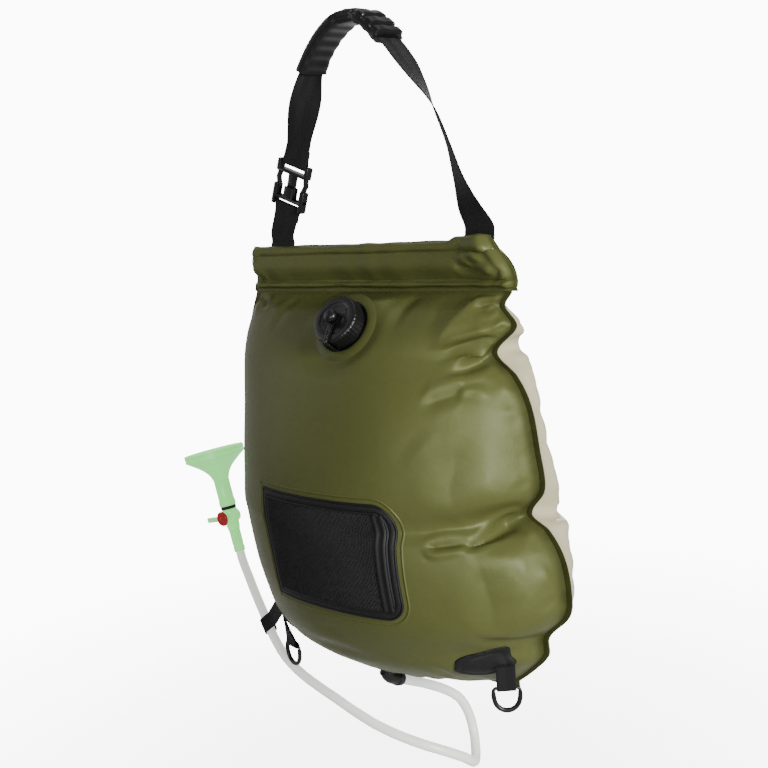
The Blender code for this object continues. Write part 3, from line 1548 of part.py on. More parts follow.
HOSE_POINTS = [
    Vector((BELLY_HALF_WIDTH * share, y, HEM_LIP_Z - drop))
    for share, y, drop in (
        (0.0955, -0.030, 0.459), (0.1000, -0.002, 0.474), (0.1000, 0.025, 0.490),
        (0.1000, 0.052, 0.508), (0.1091, 0.074, 0.528), (0.1273, 0.085, 0.553),
        (0.1636, 0.082, 0.578), (0.2318, 0.062, 0.592), (0.3045, 0.035, 0.583),
        (0.3227, 0.010, 0.564), (0.2727, -0.013, 0.548), (0.1864, -0.031, 0.536),
        (0.0727, -0.043, 0.526), (-0.0591, -0.049, 0.517), (-0.2000, -0.050, 0.508),
        (-0.3364, -0.049, 0.499), (-0.4773, -0.046, 0.492), (-0.6182, -0.043, 0.483),
        (-0.7500, -0.039, 0.470), (-0.8636, -0.033, 0.451), (-0.9591, -0.026, 0.428),
        (-1.0659, -0.0165, 0.406), (-1.1636, -0.0070, 0.3855), (-1.2477, 0, 0.361),
    )
]
HOSE_PIECES = 3
HOSE_STRAIGHT = 0.006  # straight hose at each end
HEAD_LEAN = math.radians(13)
HEAD_AXIS = Vector((-math.sin(HEAD_LEAN), 0, math.cos(HEAD_LEAN)))
HOSE_START_DIP = math.radians(28.1)  # the hose leaves the outlet backwards and down
HOSE_START_RUN = Vector((0, math.cos(HOSE_START_DIP), -math.sin(HOSE_START_DIP)))
hose_start = HOSE_POINTS[0] - HOSE_START_RUN * HOSE_STRAIGHT
hose_end = HOSE_POINTS[-1] + HEAD_AXIS * HOSE_STRAIGHT
hose_route = smooth_route(HOSE_POINTS, HOSE_PIECES, HOSE_START_RUN, HEAD_AXIS)
hose_route = [hose_start, *hose_route, hose_end]
hose = tube("hose", hose_route, HOSE_RADIUS, HOSE_VINYL, resolution=2)

ELBOW_STEPS = 8
elbow_start = OUTLET_CENTRE + OUTLET_NORMAL * (OUTLET_RISE + FIT_GAP)
elbow_end = hose_start - HOSE_START_RUN * FIT_GAP
elbow_line = [elbow_start]
elbow_foot = elbow_start + OUTLET_NORMAL * ELBOW_STRAIGHT
elbow_tip = elbow_end - HOSE_START_RUN * ELBOW_STRAIGHT
elbow_turns = (
    elbow_foot, elbow_foot + OUTLET_NORMAL * ELBOW_REACH, elbow_tip - HOSE_START_RUN * ELBOW_REACH, elbow_tip,
)
for step in range(ELBOW_STEPS + 1):
    share = step / ELBOW_STEPS
    first, second, third, fourth = elbow_turns
    rest = 1 - share
    elbow_line.append(
        first * rest**3 + second * (3 * share * rest**2) + third * (3 * share**2 * rest) + fourth * share**3
    )
elbow_line.append(elbow_end)
outlet_elbow = tube("outlet_elbow", elbow_line, ELBOW_RADIUS, BLACK_PLASTIC, resolution=3)

BAND_WIDTH = 0.020
BAND_THICKNESS = 0.0016
BAND_CLEARANCE = 0.0009
BAND_HOSE_SHARE = 0.845  # along the hose
BAND_END_SHARE = 0.78  # up the left tab
BAND_SET_LEFT = 0.0005
BAND_SET_BACK = 0.0045
band_end = LEFT_BAR.lerp(left_tab_end, BAND_END_SHARE) + Vector((-BAND_SET_LEFT, BAND_SET_BACK, 0))
band_index = round(BAND_HOSE_SHARE * (len(hose_route) - 1))
band_run = (hose_route[band_index + 1] - hose_route[band_index - 1]).normalized()
hose_strap = loop_tab(
    "hose_strap",
    HOSE_RADIUS + BAND_CLEARANCE,
    BAND_THICKNESS,
    BAND_WIDTH,
    hose_route[band_index],
    band_end,
    band_run,
    WEBBING,
)

# Shower head, in its own frame: Z up its axis from the hose's end, Y to the back

HEAD_SIDE = Vector((0, 1, 0)).cross(HEAD_AXIS)
HEAD_MATRIX = frame_matrix(hose_end, HEAD_SIDE, Vector((0, 1, 0)), HEAD_AXIS)
TAIL_RADIUS = 0.0075
TAIL_LENGTH = 0.030
TAP_HEIGHT = 0.0497
TAP_RADIUS = 0.0100
TAP_BORE_RADIUS = 0.0035
TAP_TOP = 0.0600
BOSS_RADIUS = 0.0088
BOSS_HALF_LENGTH = 0.0108
PLUG_RADIUS = 0.0052
SEAL_HEIGHT = 0.0040
SEAL_OUTER_RADIUS = 0.0105
HEAD_NECK_RADIUS = 0.0105
HEAD_WALL = 0.0018
HEAD_NECK_LENGTH = 0.036
HEAD_LENGTH = 0.078
RIM_RADIUS = 0.040
RIM_HEIGHT = 0.010
ROSE_THICKNESS = 0.0022
ROSE_SEAT = 0.0040
SPRAY_HOLE_RADIUS = 0.0011
SPRAY_RINGS = ((0.012, 6), (0.026, 10))
SPRAY_STEPS = 6

tap_profile = [
    (TAP_RADIUS - FLANGE_EDGE, TAP_TOP),
    (TAP_RADIUS, TAP_TOP - FLANGE_EDGE),
    (TAP_RADIUS, TAP_HEIGHT - BOSS_RADIUS / 2),
    (TAIL_RADIUS, TAIL_LENGTH),
    (TAIL_RADIUS, FIT_GAP),
    (TAP_BORE_RADIUS, FIT_GAP),
    (TAP_BORE_RADIUS, TAP_TOP),
]
tap_shell = turned("tap_shell", tap_profile, MINT, closed=True)
boss = cylinder(
    "tap_boss",
    BOSS_RADIUS,
    2 * BOSS_HALF_LENGTH,
    (0, 0, TAP_HEIGHT),
    (math.pi / 2, 0, 0),
    MINT,
)
tap_solid = joined("tap_body", tap_shell, [boss], MINT)
plug_hole = cylinder(
    "plug_hole_cutter",
    PLUG_RADIUS + FIT_GAP,
    2 * BOSS_HALF_LENGTH + 2 * CUT_OVERRUN,
    (0, 0, TAP_HEIGHT),
    (math.pi / 2, 0, 0),
    None,
    collection=CUTTERS,
)
boolean(tap_solid, plug_hole, "DIFFERENCE")
tap_body = evaluated_copy(tap_solid)
bpy.data.objects.remove(plug_hole, do_unlink=True)
in_frame(tap_body, HEAD_MATRIX)

SEAL_FOOT = TAP_TOP + FIT_GAP
HEAD_FOOT = SEAL_FOOT + SEAL_HEIGHT + FIT_GAP
HEAD_TOP = HEAD_FOOT + HEAD_LENGTH
tap_seal = turned(
    "tap_seal",
    [
        (SEAL_OUTER_RADIUS, SEAL_FOOT + SEAL_HEIGHT),
        (SEAL_OUTER_RADIUS, SEAL_FOOT),
        (TAP_BORE_RADIUS, SEAL_FOOT),
        (TAP_BORE_RADIUS, SEAL_FOOT + SEAL_HEIGHT),
    ],
    RUBBER,
    closed=True,
)
in_frame(tap_seal, HEAD_MATRIX)

BELL_SHARES = ((0, 0), (0.25, 0.10), (0.5, 0.30), (0.75, 0.62), (1, 1))


def bell_radius(share):
    """Outer radius from the neck to the rim."""
    return HEAD_NECK_RADIUS + (RIM_RADIUS - HEAD_NECK_RADIUS) * smooth_value(BELL_SHARES, share)


BELL_STEPS = 6
bell_foot = HEAD_FOOT + HEAD_NECK_LENGTH
bell_top = HEAD_TOP - RIM_HEIGHT
bell_outer = [(HEAD_NECK_RADIUS, HEAD_FOOT)]
bell_inner = [(HEAD_NECK_RADIUS - HEAD_WALL, HEAD_FOOT)]
for step in range(BELL_STEPS + 1):
    share = step / BELL_STEPS
    height = bell_foot + (bell_top - bell_foot) * share
    bell_outer.append((bell_radius(share), height))
    bell_inner.append((bell_radius(share) - HEAD_WALL, height + HEAD_WALL * share))
seat_z = HEAD_TOP - ROSE_SEAT
bell_outer += [(RIM_RADIUS, HEAD_TOP)]
bell_inner += [
    (RIM_RADIUS - 2 * HEAD_WALL, seat_z - FLANGE_EDGE),
    (RIM_RADIUS - 2 * HEAD_WALL, seat_z),
    (RIM_RADIUS - HEAD_WALL, seat_z),
    (RIM_RADIUS - HEAD_WALL, HEAD_TOP),
]
head_bell = turned("head_bell", bell_outer[::-1] + bell_inner, MINT, closed=True)
in_frame(head_bell, HEAD_MATRIX)


def make_rose():
    loops = [circle(RIM_RADIUS - HEAD_WALL - FIT_GAP, ROUND_STEPS)]
    for ring_radius, count in SPRAY_RINGS:
        for x, y in circle(ring_radius, count):
            loops.append([(x + u, y + v) for u, v in circle(SPRAY_HOLE_RADIUS, SPRAY_STEPS)])
    rose = flat_outline("rose_plate", loops, ROSE_THICKNESS, MINT)
    rose.location.z = seat_z + FIT_GAP + ROSE_THICKNESS / 2
    return in_frame(rose, HEAD_MATRIX)


rose_plate = make_rose()

LEVER_LENGTH = 0.034
LEVER_WIDTH = 0.0070
LEVER_THICKNESS = 0.0030
STUB_LENGTH = 0.011
LEVER_HUB_RADIUS = 0.0078
TAP_CAP_RADIUS = 0.0100
TAP_CAP_THICKNESS = 0.0030
LEVER_Y = -BOSS_HALF_LENGTH - FIT_GAP - LEVER_THICKNESS / 2


def make_tap_lever():
    """The turning plug with its lever. Its origin is on the tap's axis and local Z is that axis."""
    plug = cylinder(
        "tap_plug",
        PLUG_RADIUS,
        2 * BOSS_HALF_LENGTH + FIT_GAP + LEVER_THICKNESS / 2,
        (0, (-FIT_GAP - LEVER_THICKNESS / 2) / 2, 0),
        (math.pi / 2, 0, 0),
        MINT,
    )
    hub = cylinder("tap_hub", LEVER_HUB_RADIUS, LEVER_THICKNESS, (0, LEVER_Y, 0), (math.pi / 2, 0, 0), MINT)
    arm = box(
        "tap_arm",
        (LEVER_LENGTH + STUB_LENGTH, LEVER_THICKNESS - FLANGE_EDGE / 4, LEVER_WIDTH),
        ((STUB_LENGTH - LEVER_LENGTH) / 2, LEVER_Y, 0),
        MINT,
        bevel=FLANGE_EDGE,
    )
    lever = joined("tap_lever", plug, [hub, arm], MINT)
    lever.data.transform(lever.matrix_world)
    lever.matrix_world = Matrix.Translation((0, 0, TAP_HEIGHT))
    return in_frame(lever, HEAD_MATRIX)


tap_lever = make_tap_lever()
tap_cap = turned(
    "tap_cap",
    [
        (0, TAP_CAP_THICKNESS),
        (TAP_CAP_RADIUS - FLANGE_EDGE, TAP_CAP_THICKNESS),
        (TAP_CAP_RADIUS, TAP_CAP_THICKNESS - FLANGE_EDGE),
        (TAP_CAP_RADIUS, 0),
        (0, 0),
    ],
    RED,
)
tap_cap.rotation_euler = (math.pi / 2, 0, 0)
tap_cap.location = (0, LEVER_Y - LEVER_THICKNESS / 2 - FIT_GAP, TAP_HEIGHT)
in_frame(tap_cap, HEAD_MATRIX)
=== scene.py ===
"""Camp shower bag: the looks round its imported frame. Metres, +Z up, the bag's front faces -Y, and the
origin is the flat underside of the grip."""

import math

import bpy
import numpy as np
from mathutils import Matrix, Vector
from mathutils.bvhtree import BVHTree


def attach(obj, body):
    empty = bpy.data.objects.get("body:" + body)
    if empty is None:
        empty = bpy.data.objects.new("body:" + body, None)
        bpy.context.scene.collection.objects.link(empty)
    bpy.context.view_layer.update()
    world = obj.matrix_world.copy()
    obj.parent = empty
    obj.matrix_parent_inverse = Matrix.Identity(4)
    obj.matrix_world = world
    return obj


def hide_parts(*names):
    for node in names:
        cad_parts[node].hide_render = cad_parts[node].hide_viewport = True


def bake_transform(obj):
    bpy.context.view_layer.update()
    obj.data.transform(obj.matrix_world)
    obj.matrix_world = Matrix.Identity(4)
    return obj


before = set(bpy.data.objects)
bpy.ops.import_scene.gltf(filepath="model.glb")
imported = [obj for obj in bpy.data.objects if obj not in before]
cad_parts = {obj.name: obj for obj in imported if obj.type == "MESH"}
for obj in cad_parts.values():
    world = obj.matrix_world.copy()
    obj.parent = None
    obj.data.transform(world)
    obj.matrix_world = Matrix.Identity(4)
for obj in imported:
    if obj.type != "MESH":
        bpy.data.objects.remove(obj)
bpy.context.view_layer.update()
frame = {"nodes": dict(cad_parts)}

NODES = frame["nodes"]

bl_info = {
    "name": "Camp shower bag",
    "version": (1, 0, 0),
    "blender": (4, 5, 0),
    "location": "3D view > Sidebar > Shower bag",
    "description": "Dresses the frame of a camp shower bag with cloth, webbing, mouldings and a stage",
    "category": "Add Mesh",
}


def length(name, description, default):
    return bpy.props.FloatProperty(
        name=name, description=description, default=default, min=0, unit="LENGTH", precision=5
    )


def colour(name, description, default):
    return bpy.props.FloatVectorProperty(
        name=name, description=description, default=default, size=3, min=0, max=1, subtype="COLOR"
    )


class BagSizes(bpy.types.PropertyGroup):
    cloth_thickness: length("Cloth thickness", "Thickness of each welded panel", 0.0012)
    fold_depth: bpy.props.FloatProperty(
        name="Fold depth", description="Share of the full depth of the cloth's folds", default=1.0, min=0
    )
    pucker_depth: length("Pucker depth", "Height of the puckers along the welds", 0.0011)
    cloth_pitch: length("Cloth pitch", "Distance from one thread of the cloth to the next", 0.0006)
    webbing_pitch: length("Webbing pitch", "Distance from one rib of the webbing to the next", 0.0022)
    net_wire: length("Net thread", "Thickness of the pocket net's threads", 0.0007)
    hose_radius: length("Hose radius", "Outer radius of the hose", 0.006)
    cap_groove: length("Cap groove", "Depth of the grooves round the cap's skirt", 0.0005)
    edge_rounding: bpy.props.FloatProperty(
        name="Edge rounding", description="Share of the rounding on moulded edges", default=1.0, min=0.01
    )


class BagColours(bpy.types.PropertyGroup):
    olive: colour("Olive", "Coated cloth of the front and the hem", (0.080, 0.087, 0.025))
    cream: colour("Cream", "Vinyl of the back panel", (0.50, 0.46, 0.30))
    webbing: colour("Webbing", "Carry webbing and tabs", (0.0045, 0.0045, 0.005))
    plastic: colour("Black plastic", "Grip, buckle, cap, rings and outlet", (0.0045, 0.0045, 0.005))
    trim: colour("Welded trim", "Pocket border and corner patches", (0.0045, 0.0045, 0.005))
    net: colour("Net", "Net of the pocket", (0.006, 0.006, 0.0065))
    rubber: colour("Rubber", "Seals", (0.020, 0.020, 0.020))
    rod: colour("Rod", "Rod in the hem", (0.70, 0.70, 0.68))
    mint: colour("Mint", "Shower head", (0.33, 0.88, 0.32))
    red: colour("Red", "Cap of the tap", (0.62, 0.02, 0.02))
    hose: colour("Hose", "Milky vinyl of the hose", (0.80, 0.81, 0.77))
    stage: colour("Stage", "Floor and backdrop", (0.92, 0.92, 0.92))


def sizes():
    return bpy.context.scene.bag_sizes


def colours():
    return bpy.context.scene.bag_colours


# Picking and shaping pieces


def select_only(*pieces):
    if bpy.context.mode != "OBJECT":
        bpy.ops.object.mode_set(mode="OBJECT")
    bpy.ops.object.select_all(action="DESELECT")
    for piece in pieces:
        piece.select_set(True)
    if pieces:
        bpy.context.view_layer.objects.active = pieces[0]


def linked(name, data):
    """A new object with this data, in the scene."""
    made = bpy.data.objects.new(name, data)
    bpy.context.scene.collection.objects.link(made)
    return made


def named(name):
    """The active object, under this name."""
    piece = bpy.context.object
    piece.name = name
    piece.data.name = name
    return piece


def edit_all(piece, *steps):
    """Runs edit-mode steps with the whole piece selected before each."""
    select_only(piece)
    bpy.ops.object.mode_set(mode="EDIT")
    for step in steps:
        bpy.ops.mesh.select_all(action="SELECT")
        step()
    bpy.ops.object.mode_set(mode="OBJECT")


TOUCHING = 0.00001
SEAM_REACH = 0.000004


def close_seams(piece, reach=TOUCHING, fill=False):
    """Merges touching points, fills open ends and turns the faces outwards."""
    steps = [lambda: bpy.ops.mesh.remove_doubles(threshold=reach)]
    if fill:
        steps.append(lambda: bpy.ops.mesh.fill_holes(sides=0))
    steps.append(lambda: bpy.ops.mesh.normals_make_consistent(inside=False))
    edit_all(piece, *steps)
    return piece


def apply_modifiers(piece):
    select_only(piece)
    for modifier in list(piece.modifiers):
        bpy.ops.object.modifier_apply(modifier=modifier.name)
    return piece


def smooth(piece, degrees=40):
    select_only(piece)
    bpy.ops.object.shade_smooth_by_angle(angle=math.radians(degrees))
    return piece


def mark_welds(piece, weld):
    """Stores how near each point is to a weld, for the material, which darkens the cloth there with the
    welds' own darker tone and painted shade of the seam crease: one share, or one for each place of a fresh
    grid."""
    if np.ndim(weld):
        column, row = grid_cells_of[piece.name]
        weld = weld[row, column]
    else:
        weld = np.full(len(piece.data.vertices), weld)
    piece.data.attributes.new("weld", "FLOAT", "POINT").data.foreach_set("value", weld)


def delete_faces(piece, chosen):
    """Deletes the faces for which chosen(face) holds."""
    select_only(piece)
    bpy.ops.object.mode_set(mode="EDIT")
    bpy.ops.mesh.select_mode(type="FACE")
    bpy.ops.mesh.select_all(action="DESELECT")
    bpy.ops.object.mode_set(mode="OBJECT")
    for face in piece.data.polygons:
        face.select = chosen(face)
    bpy.ops.object.mode_set(mode="EDIT")
    bpy.ops.mesh.delete(type="FACE")
    bpy.ops.mesh.select_mode(type="VERT")
    bpy.ops.object.mode_set(mode="OBJECT")


def walled(piece, thickness):
    wall = piece.modifiers.new("wall", "SOLIDIFY")
    wall.thickness = thickness
    wall.offset = 0
    wall.use_even_offset = False
    return apply_modifiers(piece)


def rounded_edges(piece, width):
    edges = piece.modifiers.new("edges", "BEVEL")
    edges.width = width
    edges.segments = 2
    edges.limit_method = "ANGLE"
    edges.angle_limit = math.radians(35)
    edges.harden_normals = False
    return apply_modifiers(piece)


def moved(piece, matrix):
    select_only(piece)
    piece.matrix_world = matrix @ piece.matrix_world
    bpy.ops.object.transform_apply(location=True, rotation=True, scale=True)
    return piece


def joined(name, *pieces):
    select_only(*pieces)
    bpy.ops.object.join()
    return named(name)


def grid_cells(piece, columns, rows):
    """Column and row of each point of a fresh grid."""
    flat = np.empty(len(piece.data.vertices) * 3)
    piece.data.vertices.foreach_get("co", flat)
    flat = flat.reshape(-1, 3)
    column = np.rint((flat[:, 0] + 1) / 2 * columns).astype(int)
    row = np.rint((flat[:, 1] + 1) / 2 * rows).astype(int)
    return column, row


# Column and row of each point of each fresh grid, by the grid's name
grid_cells_of = {}


def grid_piece(name, places, across=None, along=None):
    """A grid with its points at places[row][column]. Its UV map is in metres when across and along are
    given, with one value for each column and for each row."""
    places = np.asarray(places, float)
    rows, columns = places.shape[0] - 1, places.shape[1] - 1
    select_only()
    bpy.ops.mesh.primitive_grid_add(x_subdivisions=columns, y_subdivisions=rows, size=2, calc_uvs=True)
    piece = named(name)
    column, row = grid_cells_of[piece.name] = grid_cells(piece, columns, rows)
    piece.data.vertices.foreach_set("co", places[row, column].ravel())
    if across is not None:
        loops = np.empty(len(piece.data.loops), int)
        piece.data.loops.foreach_get("vertex_index", loops)
        place = np.stack([np.asarray(across)[column], np.asarray(along)[row]], axis=1)
        piece.data.uv_layers[0].data.foreach_set("uv", place[loops].ravel())
    piece.data.update()
    return piece


def lathe(name, profile, steps=64, matrix=None, closed=False):
    """A (radius, height) profile turned about Z by pulling a circle out ring after ring."""
    tiny = 0.000002
    if closed:
        profile = [*profile, profile[0]]
    select_only()
    bpy.ops.mesh.primitive_circle_add(
        vertices=steps, radius=max(profile[0][0], tiny), location=(0, 0, profile[0][1])
    )
    piece = named(name)
    bpy.ops.object.transform_apply()
    bpy.ops.object.mode_set(mode="EDIT")
    bpy.ops.mesh.select_all(action="SELECT")
    for (radius, height), (wider, higher) in zip(profile, profile[1:]):
        bpy.ops.mesh.extrude_region_move(TRANSFORM_OT_translate={"value": (0, 0, higher - height)})
        growth = max(wider, tiny) / max(radius, tiny)
        bpy.ops.transform.resize(value=(growth, growth, 1), center_override=(0, 0, higher))
    bpy.ops.object.mode_set(mode="OBJECT")
    close_seams(piece, 0.000008)
    if matrix is not None:
        moved(piece, matrix)
    return smooth(piece)


def softened(profile, bend, steps=3, closed=False):
    """The profile with each corner replaced by a short curve."""
    count = len(profile)
    made = []
    for index, corner in enumerate(profile):
        if not closed and index in (0, count - 1):
            made.append(corner)
            continue
        here = Vector(corner)
        before = Vector(profile[index - 1])
        after = Vector(profile[(index + 1) % count])
        reach = min(bend, (before - here).length * 0.45, (after - here).length * 0.45)
        start = here + (before - here).normalized() * reach
        end = here + (after - here).normalized() * reach
        for step in range(steps + 1):
            t = step / steps
            made.append(tuple(start * (1 - t) ** 2 + here * (2 * t * (1 - t)) + end * t**2))
    return made


def soft_lathe(name, profile, bend, curve_steps=3, around=64, matrix=None, closed=True):
    """A lathe with the corners of its profile softened."""
    return lathe(name, softened(profile, bend, curve_steps, closed), around, matrix, closed)


def from_mm(*rows):
    """Rows of millimetres as rows of metres."""
    return [tuple(value / 1000 for value in row) for row in rows]


def refined(node, name, edge):
    """A copy of a solid with its loose faces merged and its edges rounded."""
    select_only()
    piece = linked(name, NODES[node].data.copy())
    piece.data.name = name
    piece.data.materials.clear()
    edit_all(
        piece,
        lambda: bpy.ops.mesh.remove_doubles(threshold=TOUCHING),
        lambda: bpy.ops.mesh.dissolve_limited(angle_limit=math.radians(1)),
        lambda: bpy.ops.mesh.normals_make_consistent(inside=False),
    )
    return smooth(rounded_edges(piece, edge * sizes().edge_rounding))


def curve_piece(name, points, radius, steps=8, cyclic=False):
    """A round tube along the points, as a curve."""
    curve = bpy.data.curves.new(name, "CURVE")
    curve.dimensions = "3D"
    curve.bevel_depth = radius
    curve.bevel_resolution = steps
    curve.use_fill_caps = not cyclic
    spline = curve.splines.new("POLY")
    spline.points.add(len(points) - 1)
    for point, place in zip(spline.points, points):
        point.co = (*place, 1)
    spline.use_cyclic_u = cyclic
    return linked(name, curve)


def tube(name, points, radius, steps=8, cyclic=False):
    """A round tube along the points, as a mesh."""
    select_only(curve_piece(name, points, radius, steps, cyclic))
    bpy.ops.object.convert(target="MESH")
    piece = named(name)
    close_seams(piece)
    return smooth(piece, 60)


def settle(piece, body, slot, *replaced):
    """Gives a finished piece its material and its body, and hides the solids that it stands for."""
    if not piece.data.materials:
        piece.data.materials.append(finish(slot))
    if body:
        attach(piece, body)
    if replaced:
        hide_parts(*replaced)
    return piece


# Materials


def feed(tree, socket, value):
    """Links another socket to an input, or sets the input to any other value."""
    if isinstance(value, bpy.types.NodeSocket):
        tree.links.new(value, socket)
    else:
        socket.default_value = value


def put(tree, kind, inputs=(), **settings):
    """Adds a node with its settings and its inputs."""
    made = tree.nodes.new(kind)
    for name, value in settings.items():
        setattr(made, name, value)
    for name, value in dict(inputs).items():
        feed(tree, made.inputs[name], value)
    return made


def math_node(tree, operation, *values):
    return put(tree, "ShaderNodeMath", dict(enumerate(values)), operation=operation).outputs[0]


def product(tree, first, second):
    return math_node(tree, "MULTIPLY", first, second)


def noise(tree, vector, scale, detail):
    values = {"Vector": vector, "Scale": scale, "Detail": detail}
    return put(tree, "ShaderNodeTexNoise", values).outputs["Fac"]


def ranged(tree, value, low, high, start=0.0, end=1.0, **settings):
    """Where the value lies between low and high, as a value between start and end."""
    values = {"Value": value, "From Min": low, "From Max": high, "To Min": start, "To Max": end}
    return put(tree, "ShaderNodeMapRange", values, **settings).outputs[0]


def mixed_colour(tree, share, first, second):
    made = put(tree, "ShaderNodeMix", data_type="RGBA")
    for index, value in ((0, share), (6, first), (7, second)):
        feed(tree, made.inputs[index], value)
    return made.outputs[2]


def effect_group(name, inputs, *outputs):
    """An empty shader group that takes a Vector and these inputs: its tree, what it is given and its
    outputs."""
    group = bpy.data.node_groups.new(name, "ShaderNodeTree")
    group.interface.new_socket(name="Vector", in_out="INPUT", socket_type="NodeSocketVector")
    for socket, value in inputs.items():
        kind = "NodeSocketFloat" if isinstance(value, float) else "NodeSocketColor"
        group.interface.new_socket(name=socket, in_out="INPUT", socket_type=kind).default_value = value
    for socket in outputs:
        kind = "NodeSocketColor" if socket == "Colour" else "NodeSocketFloat"
        group.interface.new_socket(name=socket, in_out="OUTPUT", socket_type=kind)
    return group, group.nodes.new("NodeGroupInput").outputs, group.nodes.new("NodeGroupOutput").inputs


def build_weave():
    """Plain weave: threads that pass over and under one another, in a Vector that is in metres."""
    tree, given, out = effect_group("plain_weave", {"Pitch": 0.0006}, "Height", "Shade")
    turns = math_node(tree, "DIVIDE", math.pi, given["Pitch"])
    split = put(tree, "ShaderNodeSeparateXYZ", {0: given["Vector"]}).outputs
    across, along = [math_node(tree, "SINE", product(tree, split[axis], turns)) for axis in (0, 1)]
    crossing = product(tree, across, along)
    feed(tree, out["Height"], math_node(tree, "ABSOLUTE", crossing))
    feed(tree, out["Shade"], product(tree, math_node(tree, "ADD", crossing, 1.0), 0.5))
    return tree


def build_ribs():
    """Webbing: slanting ribs in chevrons across a ribbon whose Vector is in metres."""
    tree, given, out = effect_group("webbing_ribs", {"Pitch": 0.0022, "Chevron": 0.0095}, "Height", "Shade")
    turns = math_node(tree, "DIVIDE", 2 * math.pi, given["Pitch"])
    split = put(tree, "ShaderNodeSeparateXYZ", {0: given["Vector"]}).outputs
    slant = math_node(tree, "ADD", split[1], math_node(tree, "PINGPONG", split[0], given["Chevron"]))
    wave = math_node(tree, "SINE", product(tree, slant, turns))
    cross = math_node(tree, "SINE", product(tree, split[0], turns))
    both = math_node(tree, "ADD", wave, product(tree, cross, 0.35))
    height = product(tree, math_node(tree, "ADD", both, 1.35), 0.37)
    feed(tree, out["Height"], height)
    # The Shade is the height again, so a colour that follows it paints shade into the valleys between the
    # ribs.
    feed(tree, out["Shade"], height)
    return tree


def build_mottle():
    """Uneven colour and gloss: broad patches with fine specks in them."""
    inputs = {
        "Colour": (0.1, 0.1, 0.1, 1),
        "Worn Colour": (0.2, 0.2, 0.2, 1),
        "Scale": 12.0,
        "Amount": 0.5,
        "Roughness": 0.4,
        "Spread": 0.1,
    }
    tree, given, out = effect_group("mottle", inputs, "Colour", "Roughness", "Height")
    broad = noise(tree, given["Vector"], given["Scale"], 5.0)
    fine = noise(tree, given["Vector"], product(tree, given["Scale"], 23.0), 3.0)
    patches = product(tree, ranged(tree, broad, 0.35, 0.68), 0.75)
    specks = product(tree, ranged(tree, fine, 0.45, 0.75), 0.25)
    mask = math_node(tree, "ADD", patches, specks)
    share = product(tree, mask, given["Amount"])
    feed(tree, out["Colour"], mixed_colour(tree, share, given["Colour"], given["Worn Colour"]))
    spread = product(tree, math_node(tree, "SUBTRACT", mask, 0.5), given["Spread"])
    feed(tree, out["Roughness"], math_node(tree, "ADD", given["Roughness"], spread))
    feed(tree, out["Height"], fine)
    return tree


EFFECTS = {"plain_weave": build_weave, "webbing_ribs": build_ribs, "mottle": build_mottle}


def effect(tree, name, **inputs):
    """Places an effect with its own values. An underscore stands for the space in an input's name."""
    made = put(tree, "ShaderNodeGroup", node_tree=bpy.data.node_groups.get(name) or EFFECTS[name]())
    for socket, value in inputs.items():
        feed(tree, made.inputs[socket.replace("_", " ")], value)
    return made.outputs


def shade(base, factor):
    return (*[min(channel * factor, 1) for channel in base], 1)


def start_material(name, base, light, scale, amount, roughness, spread, **sockets):
    """A mottled material, and with it its tree, shader inputs, texture places and the mottle's outputs.
    light is how bright its worn patches are, amount how far they show and spread how far their gloss
    differs."""
    material = bpy.data.materials.new(name)
    material.use_nodes = True
    tree = material.node_tree
    shader = tree.nodes["Principled BSDF"].inputs
    for socket, value in sockets.items():
        shader[socket.replace("_", " ")].default_value = value
    place = tree.nodes.new("ShaderNodeTexCoord").outputs
    patches = effect(
        tree,
        "mottle",
        Vector=place["Object"],
        Colour=shade(base, 1),
        Worn_Colour=shade(base, light),
        Scale=scale,
        Amount=amount,
        Roughness=roughness,
        Spread=spread,
    )
    feed(tree, shader["Roughness"], patches["Roughness"])
    feed(tree, shader["Base Color"], patches["Colour"])
    return material, tree, shader, place, patches


def bumped(tree, shader, *layers):
    """Stacks bumps: (height socket, distance in metres, strength)."""
    values = {}
    for height, distance, strength in layers:
        values.update({"Height": height, "Distance": distance, "Strength": strength})
        values["Normal"] = put(tree, "ShaderNodeBump", values).outputs[0]
    feed(tree, shader["Normal"], values["Normal"])


def make_olive():
    base = colours().olive
    gloss = {"Specular_IOR_Level": 0.30, "Coat_Weight": 0.03, "Coat_Roughness": 0.30}
    material, tree, shader, place, patches = start_material(
        "olive_cloth", base, 1.22, 7.0, 0.55, 0.42, 0.10, Specular_Tint=(0.90, 1.0, 0.62, 1), **gloss
    )
    weave = effect(tree, "plain_weave", Vector=place["UV"], Pitch=sizes().cloth_pitch)
    woven = mixed_colour(tree, product(tree, weave["Shade"], 0.16), patches["Colour"], shade(base, 0.55))
    # Darker at the welds: partly the flange's own darker tone, partly painted shade of the seam crease
    # beside it, made uneven by noise.
    weld = put(tree, "ShaderNodeAttribute", attribute_name="weld").outputs["Fac"]
    blotchy = math_node(tree, "ADD", noise(tree, place["Object"], 60.0, 4.0), 0.25)
    welded = mixed_colour(tree, product(tree, weld, blotchy), woven, shade(base, 0.42))
    feed(tree, shader["Base Color"], welded)
    crumple = noise(tree, place["Object"], 55.0, 4.0)
    bumped(tree, shader, (crumple, 0.0012, 0.40), (weave["Height"], 0.00008, 0.5))
    return material


def make_cream():
    material, tree, shader, place, patches = start_material(
        "cream_vinyl", colours().cream, 1.16, 9.0, 0.6, 0.26, 0.10, Coat_Weight=0.25, Coat_Roughness=0.18
    )
    cells = {"Vector": place["Object"], "Scale": 24.0}
    crease = put(tree, "ShaderNodeTexVoronoi", cells, feature="DISTANCE_TO_EDGE").outputs["Distance"]
    edge = ranged(tree, crease, 0.0, 0.10)
    bumped(tree, shader, (edge, 0.0004, 0.25), (patches["Height"], 0.0002, 0.25))
    return material


